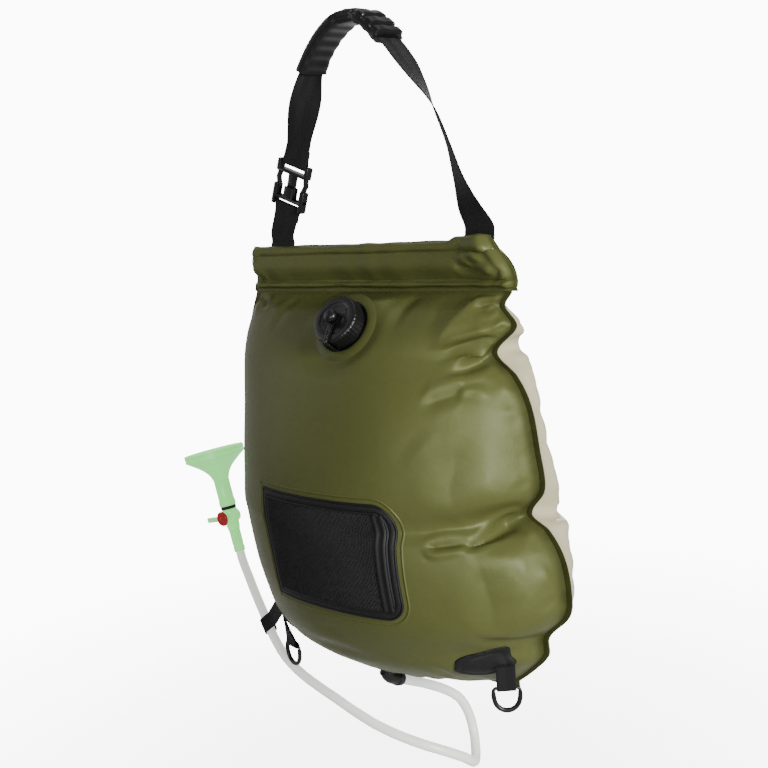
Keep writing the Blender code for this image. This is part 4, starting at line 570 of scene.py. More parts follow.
def make_webbing():
    base = colours().webbing
    material, tree, shader, place, patches = start_material(
        "black_webbing", base, 2.2, 30.0, 0.5, 0.78, 0.12, Specular_IOR_Level=0.3, Sheen_Weight=0.05
    )
    ribs = effect(tree, "webbing_ribs", Vector=place["UV"], Pitch=sizes().webbing_pitch)
    # Darker in the valleys between the ribs, lighter on their crests: painted shade that follows the ribs'
    # height.
    rib_shaded_colour = mixed_colour(tree, ribs["Shade"], shade(base, 0.45), patches["Colour"])
    feed(tree, shader["Base Color"], rib_shaded_colour)
    bumped(tree, shader, (ribs["Height"], 0.0005, 0.9), (patches["Height"], 0.0001, 0.4))
    return material


def make_trim():
    base = colours().trim
    material, tree, shader, place, patches = start_material(
        "welded_trim", base, 2.0, 22.0, 0.6, 0.55, 0.12, Specular_IOR_Level=0.35
    )
    weave = effect(tree, "plain_weave", Vector=place["UV"], Pitch=TRIM_PITCH)
    dark = product(tree, weave["Shade"], 0.4)
    feed(tree, shader["Base Color"], mixed_colour(tree, dark, patches["Colour"], shade(base, 0.4)))
    bumped(tree, shader, (weave["Height"], 0.0002, 0.6), (patches["Height"], 0.0003, 0.4))
    return material


def make_net():
    base = colours().net
    material, tree, shader, place, patches = start_material("black_net", base, 2.4, 40.0, 0.7, 0.60, 0.16)
    slant = put(tree, "ShaderNodeMapping", {"Vector": place["UV"], "Rotation": (0, 0, math.radians(45))})
    weave = effect(tree, "plain_weave", Vector=slant.outputs[0], Pitch=NET_PITCH)
    # Darker in the low lines between the knit's raised threads: painted shade that follows the knit's
    # height.
    knit_shaded_colour = mixed_colour(tree, weave["Height"], shade(base, 0.35), patches["Colour"])
    feed(tree, shader["Base Color"], knit_shaded_colour)
    bumped(tree, shader, (weave["Height"], 0.0006, 0.8))
    return material


def make_moulded(name, colour, roughness, light=1.8, grain=0.35, scale=18.0, **sockets):
    """A moulded material with fine pits. grain is how strong they are."""
    base = getattr(colours(), colour)
    material, tree, shader, place, patches = start_material(
        name, base, light, scale, 0.4, roughness, 0.12, **sockets
    )
    cells = {"Vector": place["Object"], "Scale": 1500.0}
    pits = put(tree, "ShaderNodeTexVoronoi", cells).outputs["Distance"]
    bumped(tree, shader, (patches["Height"], 0.0002, grain * 0.5), (pits, 0.00006, grain))
    return material


def make_stage():
    """A pale floor that fades out at a distance from its middle."""
    material, tree, shader, place, patches = start_material(
        "pale_stage", colours().stage, 1.02, 3.0, 0.4, 0.75, 0.05
    )
    reach = put(tree, "ShaderNodeVectorMath", {0: place["Object"]}, operation="LENGTH").outputs["Value"]
    fade = ranged(tree, reach, 0.35, 1.6, 1.0, 0.0, interpolation_type="SMOOTHSTEP")
    feed(tree, shader["Alpha"], fade)
    return material


# The mint and the milky vinyl give off a little light, which stands in for light that passes through.
MINT_LOOK = {
    "Emission_Color": (0.30, 0.88, 0.28, 1),
    "Emission_Strength": 0.66,
    "Transmission_Weight": 0.10,
    "IOR": 1.45,
    "Coat_Weight": 0.2,
    "Coat_Roughness": 0.2,
}
HOSE_LOOK = {
    "Emission_Color": (0.90, 0.92, 0.86, 1),
    "Emission_Strength": 0.50,
    "Transmission_Weight": 0.10,
    "IOR": 1.42,
    "Coat_Weight": 0.25,
    "Coat_Roughness": 0.15,
}
TRIM_PITCH = 0.0011
NET_PITCH = 0.0032
FINISHES = {
    "olive_fabric": make_olive,
    "cream_vinyl": make_cream,
    "black_webbing": make_webbing,
    "black_plastic": lambda: make_moulded("black_plastic", "plastic", 0.34, Coat_Roughness=0.3),
    "black_trim": make_trim,
    "black_mesh": make_net,
    "rubber": lambda: make_moulded("seal_rubber", "rubber", 0.70),
    "rod_plastic": lambda: make_moulded("rod_tube", "rod", 0.45, 1.1),
    "mint_plastic": lambda: make_moulded("mint_moulding", "mint", 0.28, 1.12, 0.12, 30.0, **MINT_LOOK),
    "red_plastic": lambda: make_moulded("red_moulding", "red", 0.24, 1.3, 0.15, Coat_Weight=0.3),
    "hose_vinyl": lambda: make_moulded("milky_hose", "hose", 0.26, 1.08, 0.1, **HOSE_LOOK),
    "stage": make_stage,
}
MADE = {}


def finish(slot):
    if slot not in MADE:
        MADE[slot] = FINISHES[slot]()
    return MADE[slot]


# Sizes of the bag, in metres, as in its solids

HEM_LENGTH = 0.386
HEM_HEIGHT = 0.054
HEM_HALF_DEPTH = 0.0105
HEM_END_SLANT = 0.030
HEM_TOP_Z = -0.240
HEM_LIP_Z = HEM_TOP_Z - HEM_HEIGHT
PANEL_TOP_Z = HEM_LIP_Z - 0.002
PANEL_DROP = 0.438
PANEL_BOTTOM_Z = PANEL_TOP_Z - PANEL_DROP
BELLY_HALF_WIDTH = 0.220
BELLY_FRONT_DEPTH = 0.134
BELLY_BACK_DEPTH = 0.100
SEAM_FLANGE = 0.007
SEAM_Y = 0.00075
PANEL_TUCK = 0.010
BOTTOM_FLANGE = 0.008
ROD_Z = HEM_TOP_Z - HEM_HEIGHT * 0.27
ANCHOR_X = HEM_LENGTH / 2 - 0.048
WEBBING_WIDTH = 0.038
WEBBING_THICKNESS = 0.0016
GAP = 0.0003
X_AXIS = Vector((1, 0, 0))
Y_AXIS = Vector((0, 1, 0))
Z_AXIS = Vector((0, 0, 1))

FRONT_DEPTH_SHARES = (
    (0, 0), (0.015, 0.09), (0.04, 0.28), (0.1, 0.49), (0.2, 0.73), (0.35, 0.91), (0.5, 0.99),
    (0.65, 1.0), (0.8, 0.95), (0.9, 0.80), (0.96, 0.58), (0.99, 0.32), (1, 0),
)
BACK_DEPTH_SHARES = (
    (0, 0), (0.015, 0.10), (0.04, 0.32), (0.1, 0.55), (0.2, 0.76), (0.35, 0.92), (0.5, 1.0),
    (0.7, 1.0), (0.85, 0.88), (0.95, 0.58), (0.99, 0.28), (1, 0),
)
LEFT_WIDTH_SHARES = (
    (0, 0.875), (0.06, 0.93), (0.12, 0.965), (0.3, 0.965), (0.5, 0.97), (0.7, 0.945), (0.82, 0.89),
    (0.9, 0.83), (1, 0.72),
)
RIGHT_WIDTH_SHARES = (
    (0, 0.84), (0.03, 0.80), (0.08, 0.86), (0.145, 0.74), (0.2, 0.845), (0.27, 0.915), (0.38, 0.95),
    (0.48, 0.965), (0.545, 0.885), (0.58, 0.98), (0.65, 1.06), (0.75, 1.085), (0.8, 1.06),
    (0.86, 0.945), (0.91, 0.935), (0.96, 0.845), (1, 0.75),
)
VALVE_LEAN = math.radians(35)
VALVE_Z = HEM_LIP_Z - 0.034
VALVE_FLAT_RADIUS = 0.041
VALVE_BLEND_RADIUS = 0.070


def smooth_value(table, share):
    """The value at a share in a table of (share, value) rows, on a smooth curve through the rows."""
    last = len(table) - 1
    index = 0
    while index < last - 1 and share > table[index + 1][0]:
        index += 1
    slopes = []
    for row in (index, index + 1):
        before = table[max(row - 1, 0)]
        after = table[min(row + 1, last)]
        slopes.append((after[1] - before[1]) / (after[0] - before[0]))
    width = table[index + 1][0] - table[index][0]
    part = min(max((share - table[index][0]) / width, 0), 1)
    rest = 1 - part
    return (
        table[index][1] * (1 + 2 * part) * rest**2
        + width * slopes[0] * part * rest**2
        + table[index + 1][1] * part**2 * (3 - 2 * part)
        - width * slopes[1] * part**2 * rest
    )


def smooth_route(points, pieces, start_run=None, end_run=None):
    """Points on a smooth curve through the given ones, with this many pieces in each span."""
    before_start = points[0] * 2 - points[1]
    after_end = points[-1] * 2 - points[-2]
    if start_run is not None:
        before_start = points[1] - start_run * 2 * (points[1] - points[0]).length
    if end_run is not None:
        after_end = points[-2] + end_run * 2 * (points[-1] - points[-2]).length
    ends = [before_start, *points, after_end]
    route = []
    for before, here, after, beyond in zip(ends, ends[1:], ends[2:], ends[3:]):
        square = before * 2 - here * 5 + after * 4 - beyond
        cube = here * 3 - before - after * 3 + beyond
        for step in range(pieces):
            t = step / pieces
            route.append((here * 2 + (after - before) * t + square * t**2 + cube * t**3) / 2)
    route.append(points[-1])
    return route


def eased(share):
    """The share from 0 to 1, with a level start and end."""
    share = min(max(share, 0), 1)
    return share * share * (3 - 2 * share)


def bell(distance, reach):
    """1 at no distance, and less and less beyond the reach."""
    return np.exp(-((distance / reach) ** 2))


def ease_field(share):
    """eased() for an array."""
    share = np.clip(share, 0, 1)
    return share * share * (3 - 2 * share)


def height_share(z):
    return (PANEL_TOP_Z - z) / PANEL_DROP


def half_widths(share):
    left = BELLY_HALF_WIDTH * smooth_value(LEFT_WIDTH_SHARES, share)
    right = BELLY_HALF_WIDTH * smooth_value(RIGHT_WIDTH_SHARES, share)
    return left - SEAM_FLANGE, right - SEAM_FLANGE


def belly(x, z, depth, depth_shares):
    """How far the panel stands out at the places x of one height."""
    share = min(max(height_share(z), 0), 1)
    left, right = half_widths(share)
    across = np.minimum(np.abs((2 * x + left - right) / (left + right)), 1)
    return depth * smooth_value(depth_shares, share) * (1 - across**2.3) ** 0.62


VALVE_Y = -SEAM_Y - float(belly(np.array([0.0]), VALVE_Z, BELLY_FRONT_DEPTH, FRONT_DEPTH_SHARES)[0])


def front_depth(x, z):
    plain = -SEAM_Y - belly(x, z, BELLY_FRONT_DEPTH, FRONT_DEPTH_SHARES)
    plane = VALVE_Y + (z - VALVE_Z) * math.tan(VALVE_LEAN)
    reach = np.hypot(x, (z - VALVE_Z) / math.cos(VALVE_LEAN))
    weight = ease_field((VALVE_BLEND_RADIUS - reach) / (VALVE_BLEND_RADIUS - VALVE_FLAT_RADIUS))
    weight = weight * eased((PANEL_TOP_Z - z) / 0.006)
    return plain + (min(plane, -SEAM_Y) - plain) * weight


def back_depth(x, z):
    return SEAM_Y + belly(x, z, BELLY_BACK_DEPTH, BACK_DEPTH_SHARES)


FLANGE_COLUMNS = 3
FLANGE_ROWS = 3
TUCK_ROWS = 3
CROWDING = 1.2
# Distances from the bottom, the top, the sides and the valve over which the folds fade in
LOW_FADE = 0.012
TOP_FADE = 0.010
SIDE_FADE = 0.006
VALVE_FADE = 0.016
WELD_REACH = 0.0022
# Share of the weld darkening on the valve's weld ring: its darker tone and painted shade, as at the seams.
VALVE_WELD_SHARE = 0.45
EMBOSS_OUTSETS = (0.0068, 0.0040)
UV_WIDTH = 2 * BELLY_HALF_WIDTH * 1.25

# Heights and half widths between which the front's folds lie, where its grid is finer
FOLD_HEIGHTS = ((-0.572, -0.515), (-0.410, -0.296))
FOLD_REACH = ((0.085, 0.196),)


def crowded(count, value_of, bands):
    """Steps from 0 to 1, closer to each other where value_of(step) lies in one of the bands."""
    fine = np.linspace(0, 1, 2001)
    value = value_of(fine)
    weight = np.ones(len(fine))
    for low, high in bands:
        weight += CROWDING * ease_field((value - low) / 0.012) * ease_field((high - value) / 0.012)
    passed = np.cumsum(weight)
    return np.interp(np.linspace(0, 1, count + 1), (passed - passed[0]) / (passed[-1] - passed[0]), fine)


def drop_share(even):
    """Share of the panel's height at an even step, so that the steps are shorter at both of its ends."""
    return 0.55 * (1 - np.cos(np.pi * even)) / 2 + 0.45 * even


def reach_share(even):
    return np.sin(np.pi * (even - 0.5))


def skin_places(surface, side, columns, rows):
    """Places of a panel's middle surface, from the bottom weld up and from left to right, and the height
    of each row."""
    steps = crowded(rows, lambda even: PANEL_TOP_Z - PANEL_DROP * drop_share(even), FOLD_HEIGHTS)
    heights = [PANEL_BOTTOM_Z - BOTTOM_FLANGE * (1 - step / FLANGE_ROWS) for step in range(FLANGE_ROWS)]
    heights += [PANEL_TOP_Z - PANEL_DROP * drop_share(step) for step in reversed(steps)]
    heights += [HEM_LIP_Z + PANEL_TUCK * (step + 1) / TUCK_ROWS for step in range(TUCK_ROWS)]
    across = reach_share(crowded(columns, lambda even: reach_share(even) * BELLY_HALF_WIDTH, FOLD_REACH))
    flange = SEAM_FLANGE * np.arange(FLANGE_COLUMNS, 0, -1) / FLANGE_COLUMNS
    places = []
    for z in heights:
        left, right = half_widths(min(max(height_share(z), 0), 1))
        x = (right - left) / 2 + (right + left) / 2 * across
        y = np.full(len(x), side * SEAM_Y)
        if PANEL_BOTTOM_Z < z < PANEL_TOP_Z:
            y = surface(x, z)
        x = np.concatenate([-left - flange, x, right + flange[::-1]])
        y = np.pad(y, FLANGE_COLUMNS, constant_values=side * SEAM_Y)
        places.append(np.stack([x, y, np.full(len(x), z)], axis=1))
    return np.array(places), np.array(heights)


def grid_normals(places):
    """Unit normals of a grid of places, on the side that its faces will show."""
    normal = np.cross(np.gradient(places, axis=1), np.gradient(places, axis=0))
    return normal / np.maximum(np.linalg.norm(normal, axis=2, keepdims=True), 1e-12)


# Folds, in millimetres: depth, half width, share of the ridges beside it, shares of its length over which
# it starts and ends, how much more of the ridge stands on its upper side, then the (x, z) places of its
# line as seen from the front. A negative depth is a ridge.
FRONT_FOLDS = (
    (8, 20, 0.15, 0.01, 0.6, 0, (197, -533.5), (185, -537.3), (177, -542.6), (169, -550.9), (160, -555.2)),
    (8, 4.6, 0.35, 0.01, 0.4, 0.5, (200, -532.8), (185, -537.3), (177, -542.6), (169, -550), (158, -556)),
    (5.2, 5.5, 0.25, 0.15, 0.25, 0, (172, -547.2), (159, -546.7), (143, -547.6), (125, -549.7)),
    (-2.6, 3.6, 0.3, 0.2, 0.2, 0, (171, -545.7), (158, -542.1), (143, -541.2),
     (130, -544.5), (123, -548.7)),
    (-2.6, 3.6, 0.3, 0.2, 0.2, 0, (124, -551), (139, -556.2), (156, -553.4), (169, -550)),
    (7, 4.8, 0.5, 0.02, 0.5, 0.6, (170, -354), (163, -356.9), (154, -363.8), (147, -368.5),
     (139, -372.7), (129, -375.4)),
    (-4, 6, 0.2, 0.1, 0.5, 0, (160, -355), (144, -359.5), (133, -363.3), (120, -367.7)),
    (4.5, 5, 0.4, 0.15, 0.5, 0.3, (170, -340), (148, -346.4), (130, -350.4), (111, -353.5)),
    (3.5, 4.8, 0.4, 0.1, 0.5, 0.3, (167, -362), (161, -365.6), (155, -372.1), (146, -375.9), (134, -377.4)),
    (4.2, 3.8, 0.5, 0.1, 0.3, 0.3, (178, -304.4), (161, -306.9), (150, -310.3), (145, -313.9)),
    (2.6, 3.2, 0.5, 0.2, 0.4, 0, (170, -311.8), (160, -314.2), (148, -314)),
    (-4, 12, 0.2, 0.1, 0.4, 0, (174, -297), (145, -304.6), (133, -320.9), (123, -336.1), (112, -354.5)),
    (4.2, 7, 0.4, 0.2, 0.4, 0.3, (155, -393.9), (143, -395.6), (132, -399.6), (116, -406.7)),
    (-1.8, 3.5, 0.3, 0.3, 0.3, 0, (174, -402.2), (162, -391.6), (155, -391.5), (143, -396.6)),
    (3, 13, 0.3, 0.4, 0.4, 0, (164, -432.6), (155, -459.6), (151, -489.7), (155, -519.8)),
    (-1.6, 8, 0.3, 0.4, 0.5, 0, (139, -426.3), (120, -453.5), (104, -473.6)),
    (3, 13, 0.3, 0.3, 0.4, 0, (173, -562.2), (182, -584.7), (189, -617.7), (184, -656.2)),
    (3.6, 5, 0.4, 0.4, 0.1, 0.3, (164, -640.9), (175, -655.6), (192, -662.9), (208, -670)),
    (2.4, 3.4, 0.5, 0.3, 0.4, 0, (197, -670.6), (197, -683.8), (194, -695.9)),
    (2.4, 3, 0.6, 0.1, 0.6, 0, (232, -600.5), (226, -585.6), (220, -578.5)),
    (2.4, 3, 0.6, 0.1, 0.6, 0, (236, -613.3), (230, -618), (222, -621)),
    (2.4, 3.4, 0.6, 0.1, 0.6, 0, (194, -396.4), (183, -386.2), (174, -380)),
    (2.2, 3.4, 0.6, 0.1, 0.6, 0, (186, -329), (178, -331.6), (170, -337)),
    (2, 3.4, 0.6, 0.1, 0.6, 0, (207, -460), (200, -451.1), (193, -445)),
    (2, 3.4, 0.6, 0.1, 0.6, 0, (209, -494), (202, -494.9), (192, -499)),
    (2, 3.4, 0.6, 0.1, 0.6, 0, (233, -637), (226, -640), (218, -645.2)),
    (2.2, 7, 0.4, 0.4, 0.4, 0, (-68, -686.3), (-15, -683.5), (32, -684.1), (56, -684.5)),
    (1.6, 6, 0.4, 0.4, 0.5, 0, (24, -668.2), (8, -655.5), (-14, -650)),
    (3, 6, 0.4, 0.1, 0.6, 0, (-190, -297.8), (-180, -301), (-162, -310.5), (-153, -323.1)),
    (2, 5.5, 0.4, 0.1, 0.7, 0, (-205, -600), (-190, -604), (-174, -602)),
    (2.4, 6, 0.4, 0.1, 0.7, 0, (-190, -655), (-176, -648), (-158, -646)),
    (1.8, 8, 0.3, 0.2, 0.7, 0, (-120, -298), (-118, -318), (-124, -345)),
    (1.6, 8, 0.3, 0.2, 0.7, 0, (60, -298), (64, -318), (60, -336)),
    (2.2, 6, 0.4, 0.1, 0.7, 0, (120, -712), (118, -700), (108, -688)),
    (2, 6, 0.4, 0.1, 0.7, 0, (-110, -716), (-104, -704), (-98, -692)),
)
HEM_FOLDS = (
    (3.2, 3.4, 0.6, 0.15, 0.2, 0, (133, -256.6), (145.6, -262.1), (163.3, -262.4),
     (175.1, -270.9), (169.4, -281.2)),
    (2.6, 3.4, 0.6, 0.2, 0.2, 0.3, (142.7, -249.5), (163.7, -257.2), (182.7, -267.9)),
    (3.4, 5, 0.3, 0.2, 0.3, 0, (118, -265), (140, -268), (163, -270.5)),
    (-2.6, 6, 0.2, 0.2, 0.2, 0, (122, -256), (145, -258), (160, -265)),
    (-2.4, 7, 0.2, 0.2, 0.2, 0, (128, -245), (150, -244), (162, -250)),
    (2, 3, 0.5, 0.1, 0.3, 0, (190, -280), (180, -283), (172, -289)),
    (2.4, 3, 0.6, 0.2, 0.2, 0, (-179.5, -272), (-174, -276), (-176, -283)),
    (2, 3.4, 0.5, 0.1, 0.4, 0, (-193, -256), (-185, -260), (-176, -264)),
    (-1.8, 5, 0.2, 0.1, 0.3, 0, (-193, -248), (-184, -250), (-172, -249)),
)
BACK_FOLDS = (
    (8, 8, 0.4, 0.02, 0.7, 0, (216, -535), (196, -540), (170, -548), (140, -552)),
    (5, 7, 0.4, 0.05, 0.7, 0, (178, -359), (158, -352), (136, -366), (112, -380)),
    (3, 6, 0.4, 0.05, 0.7, 0, (205, -470), (185, -462), (160, -466)),
    (3, 7, 0.4, 0.05, 0.7, 0, (200, -430), (178, -424), (150, -428)),
    (3, 7, 0.4, 0.05, 0.7, 0, (232, -610), (210, -604), (180, -610)),
    (3, 7, 0.4, 0.05, 0.7, 0, (-205, -470), (-185, -462), (-160, -466)),
    (3, 8, 0.4, 0.05, 0.7, 0, (-200, -580), (-178, -586), (-150, -584)),
    (2.8, 9, 0.3, 0.2, 0.6, 0, (-120, -298), (-112, -330), (-100, -365)),
    (2.8, 9, 0.3, 0.2, 0.6, 0, (100, -298), (92, -330), (86, -370)),
    (2.4, 8, 0.3, 0.2, 0.6, 0, (10, -298), (6, -325), (12, -350)),
    (2.6, 8, 0.3, 0.2, 0.6, 0, (80, -728), (74, -705), (60, -680)),
    (2.6, 8, 0.3, 0.2, 0.6, 0, (-90, -728), (-80, -705), (-66, -680)),
)

# How far the back stands out past the welds on its right, as (share of the panel's height, distance)
BACK_SWELL = (
    (0, 0), (0.03, 0.009), (0.08, 0.010), (0.11, 0.021), (0.145, 0.031), (0.17, 0.028), (0.2, 0.020),
    (0.24, 0.014), (0.32, 0.0105), (0.44, 0.0125), (0.48, 0.016), (0.52, 0.025), (0.545, 0.030),
    (0.58, 0.019), (0.62, 0.0105), (0.65, 0.007), (0.75, 0.004), (0.85, 0), (1, 0),
)
# Shares of the swell that go sideways and back
SWELL_WAY = (0.766, 0.643)


def fold_lift(x, z, folds):
    """Height that the folds add at each place: a valley with a soft ridge on each side of it."""
    lift = np.zeros(x.shape)
    for depth, half_width, ridge, start, end, lean, *line in folds:
        line = from_mm(*line)
        nearest = np.full(x.shape, 9.0)
        share = np.zeros(x.shape)
        above = np.zeros(x.shape)
        total = sum(math.dist(first, second) for first, second in zip(line, line[1:]))
        passed = 0
        for first, second in zip(line, line[1:]):
            span = math.dist(first, second)
            run = ((second[0] - first[0]) / span, (second[1] - first[1]) / span)
            along = np.clip((x - first[0]) * run[0] + (z - first[1]) * run[1], 0, span)
            off_x = x - first[0] - along * run[0]
            off_z = z - first[1] - along * run[1]
            distance = np.hypot(off_x, off_z)
            closer = distance < nearest
            nearest = np.where(closer, distance, nearest)
            share = np.where(closer, (passed + along) / total, share)
            above = np.where(closer, np.sign(off_z), above)
            passed += span
        strength = ease_field(share / max(start, 0.001)) * ease_field((1 - share) / end)
        reach = nearest / (half_width / 1000 * (0.55 + 0.45 * strength))
        valley = 0.4 * np.exp(-(reach**2)) + 0.6 * np.exp(-1.5 * reach)
        side = np.exp(-((reach - 1.9) ** 2) / 0.7)
        lift += depth / 1000 * strength * (ridge * (1 + lean * above) * side - valley)
    return lift * sizes().fold_depth


def blurred(field):
    """The field after two passes, each of which evens out its rows and then its columns."""
    for view in (field, field.T) * 2:
        view[1:-1] = (view[:-2] + 2 * view[1:-1] + view[2:]) / 4
    return field


def weld_puckers(x, z, from_side):
    """Short puckers that run in from the welds and from the hem."""
    wander = 1.3 * np.sin(z / 0.021 + 1.1) + 0.8 * np.sin(z / 0.0083 + 0.3)
    wave = np.sin(z / 0.0048 + wander + np.sign(x) * 0.9) * (0.5 + 0.5 * np.sin(z / 0.031 + 2.0))
    side = 0.55 * wave * bell(from_side - 0.004, 0.007) * (from_side > 0)
    from_top = PANEL_TOP_Z - z
    wander = 1.2 * np.sin(x / 0.026 + 0.4) + 0.7 * np.sin(x / 0.0094)
    wave = np.sin(x / 0.0042 + wander) * (0.55 + 0.45 * np.sin(x / 0.037 + 1.0))
    top = wave * bell(from_top - 0.010, 0.011) * (from_top > 0.001)
    from_low = z - PANEL_BOTTOM_Z
    low = np.sin(x / 0.0048 - wander) * bell(from_low - 0.009, 0.010) * (from_low > 0)
    return sizes().pucker_depth * (side + 0.9 * top + 0.8 * low)


def broad_waves(x, z):
    """Very low swells, as a filled bag of thin cloth has."""
    return 0.0011 * (
        np.sin(x / 0.043 + 0.7 * np.sin(z / 0.061))
        + 0.7 * np.sin(z / 0.052 + 0.9 * np.sin(x / 0.074) + 1.2)
        + 0.4 * np.sin((x + z) / 0.029 + 0.5)
    )


def swell_back(places):
    """Pushes the back out beside its right weld, so that it fills out past the notches."""
    for row in places:
        swell = np.interp(height_share(row[0, 2]), *zip(*BACK_SWELL))
        inside = row[-1, 0] - SEAM_FLANGE - row[:, 0]
        weight = ease_field(inside / 0.010) * (1 - ease_field((inside - 0.025) / 0.085)) * (inside > 0)
        row[:, :2] += np.outer(swell * weight, SWELL_WAY)


class Skins:
    """The search tree of the finished front, kept for the pieces that lie on it."""

    front = None


def skin_piece(name, surface, side, folds, columns, rows):
    """One panel's skin, lifted by its folds, puckers and waves, with its welds marked."""
    places, heights = skin_places(surface, side, columns, rows)
    x, z = places[:, :, 0].copy(), places[:, :, 2]
    from_side = np.minimum(x - x[:, :1], x[:, -1:] - x) - SEAM_FLANGE
    lift = blurred(fold_lift(x, z, folds)) + weld_puckers(x, z, from_side) + broad_waves(x, z)
    weight = ease_field((z - PANEL_BOTTOM_Z) / LOW_FADE) * ease_field((PANEL_TOP_Z - z) / TOP_FADE)
    weight = weight * ease_field(from_side / SIDE_FADE)
    if side < 0:
        from_valve = np.linalg.norm(places - np.array([0, VALVE_Y, VALVE_Z]), axis=2)
        weight = weight * ease_field((from_valve - VALVE_FLAT_RADIUS) / VALVE_FADE)
    weight[:FLANGE_ROWS] = 0
    weight[-TUCK_ROWS:] = 0
    weld = bell(np.maximum(from_side, 0), WELD_REACH)
    weld[:FLANGE_ROWS] = 1
    if side > 0:
        swell_back(places)
        places, lift, weight, weld = (field[:, ::-1] for field in (places, lift, weight, weld))
    places = places + grid_normals(places) * (lift * weight)[:, :, None]
    piece = grid_piece(name, places, np.linspace(0, UV_WIDTH, places.shape[1]), heights)
    mark_welds(piece, weld)
    return piece


VALVE_WELD_PROFILE = from_mm(
    (31, 1.9), (31.2, 3.3), (35.2, 3.1), (38.5, 2.1), (42, 0.6), (42, -0.2), (37.5, -0.2), (37.5, 1.9)
)
VALVE_HOLE_RADIUS = 0.0345
OUTLET_HOLE_RADIUS = 0.0140


def build_panels():
    """The front, with its valve's weld and its pocket's emboss, and the back."""
    front = skin_piece("front_cloth", front_depth, -1, FRONT_FOLDS, 200, 232)
    back = skin_piece("back_vinyl", back_depth, 1, BACK_FOLDS, 150, 160)
    mesh = front.data
    Skins.front = BVHTree.FromPolygons(
        [vert.co[:] for vert in mesh.vertices], [list(face.vertices) for face in mesh.polygons]
    )
    holes = ((VALVE_MATRIX.translation, VALVE_HOLE_RADIUS), (OUTLET_CENTRE, OUTLET_HOLE_RADIUS))
    for centre, radius in holes:
        delete_faces(front, lambda face: (face.center - centre).length < radius)
    for piece in (front, back):
        walled(piece, sizes().cloth_thickness)
        smooth(piece, 50)
    weld = soft_lathe("valve_weld", VALVE_WELD_PROFILE, 0.0012, 3, 96, VALVE_MATRIX)
    mark_welds(weld, VALVE_WELD_SHARE)
    outer, inner = EMBOSS_OUTSETS
    emboss = pocket_ring("pocket_emboss", -outer, -inner, EMBOSS_SECTION)
    front = joined("front_cloth", front, weld, emboss)
    settle(front, "bag", "olive_fabric", "front_panel")
    settle(back, "bag", "cream_vinyl", "back_panel")


# Hem sleeve

LIP_Y = SEAM_Y + 0.0006 + GAP + 0.0006
HEM_FACE_SHARES = (
    (0.72, 0.13), (0.64, 0.17), (0.26, 0.225), (0.40, 0.29), (0.64, 0.37), (0.88, 0.45), (1.0, 0.54),
    (0.93, 0.64), (0.76, 0.76), (0.68, 0.81), (0.90, 0.87), (0.70, 0.96), (0, 1.0),
)
HEM_COLUMNS = 210
PINCHED_SHARE = 0.84
LEFT_PINCH = 0.0075
RIGHT_PINCH = 0.0095
ANCHOR_CUT = WEBBING_WIDTH / 2 + 0.001


def hem_profile():
    """(y, z) places round the hem, from its front lip over its top to its back lip."""
    front = [(-LIP_Y, HEM_LIP_Z), (-LIP_Y, HEM_LIP_Z + HEM_HEIGHT * 0.08)]
    for depth_share, rise_share in HEM_FACE_SHARES:
        front.append((-HEM_HALF_DEPTH * depth_share, HEM_LIP_Z + HEM_HEIGHT * rise_share))
    points = front + [(-y, z) for y, z in reversed(front[:-1])]
    return [(point.x, point.y) for point in smooth_route([Vector(place) for place in points], 4)]


def hem_lift(x, y, z, rise, from_left, from_right):
    """Height that waves, crumples and folds add to the hem at each place."""
    side = np.where(y < 0, 1.0, -0.7)
    waves = 0.0007 * np.sin(x / 0.034 + 1.2 * np.sin(x / 0.09) + rise * 1.6 * side)
    waves = waves + 0.00035 * np.sin(x / 0.0075 + 2.2 * rise + 1.5 * np.sin(x / 0.027))
    crumple = 0.0007 * bell(from_right, 0.030) * np.sin(rise * 13 + x / 0.0075 + 0.6 * side)
    crumple += 0.0007 * bell(from_right - 0.022, 0.010) * np.sin(rise * 8 - x / 0.006)
    bumps = 0.0013 * bell(from_left, 0.016) * np.sin(rise * 15 + 0.4)
    puff = 0.0018 * bell(from_right - 0.018, 0.016) * np.sin(math.pi * np.clip(rise, 0, 1))
    folds = blurred(fold_lift(x, z, HEM_FOLDS) * (y < 0))
    return (waves + crumple + bumps + puff + folds) * ease_field(rise / 0.14)


def hem_places(profile, steps):
    """The hem's places: its slanting right end swells, its left end waves, the flap at its top right
    stands up and both its ends are pinched shut."""
    rows = []
    for y, z in profile:
        right = HEM_LENGTH / 2 - HEM_END_SLANT * (z - HEM_LIP_Z) / HEM_HEIGHT
        x = -HEM_LENGTH / 2 + (right + HEM_LENGTH / 2) * steps
        rows.append(np.stack([x, np.full(len(x), y), np.full(len(x), z)], axis=1))
    places = np.array(rows)
    x, y, z = places[:, :, 0], places[:, :, 1], places[:, :, 2]
    rise = (z - HEM_LIP_Z) / HEM_HEIGHT
    from_right = (1 - steps)[None, :] * HEM_LENGTH
    from_left = steps[None, :] * HEM_LENGTH
    swell = 0.0100 * np.sin(math.pi * np.clip(rise * 1.05, 0, 1)) * ease_field(rise / 0.2)
    x += bell(from_right, 0.030) * swell
    x -= bell(from_left, 0.010) * (0.0030 * np.cos(rise * 9.5) - 0.0010)
    z += ease_field((rise - 0.80) / 0.20) * 0.0050 * ease_field((0.062 - from_right) / 0.016)
    lift = hem_lift(x, y, z, rise, from_left, from_right)
    places = places + grid_normals(places) * lift[:, :, None]
    ends = np.exp(-((from_left / LEFT_PINCH) ** 4)) + np.exp(-((from_right / RIGHT_PINCH) ** 4))
    places[:, :, 1] *= 1 - PINCHED_SHARE * ends
    return places


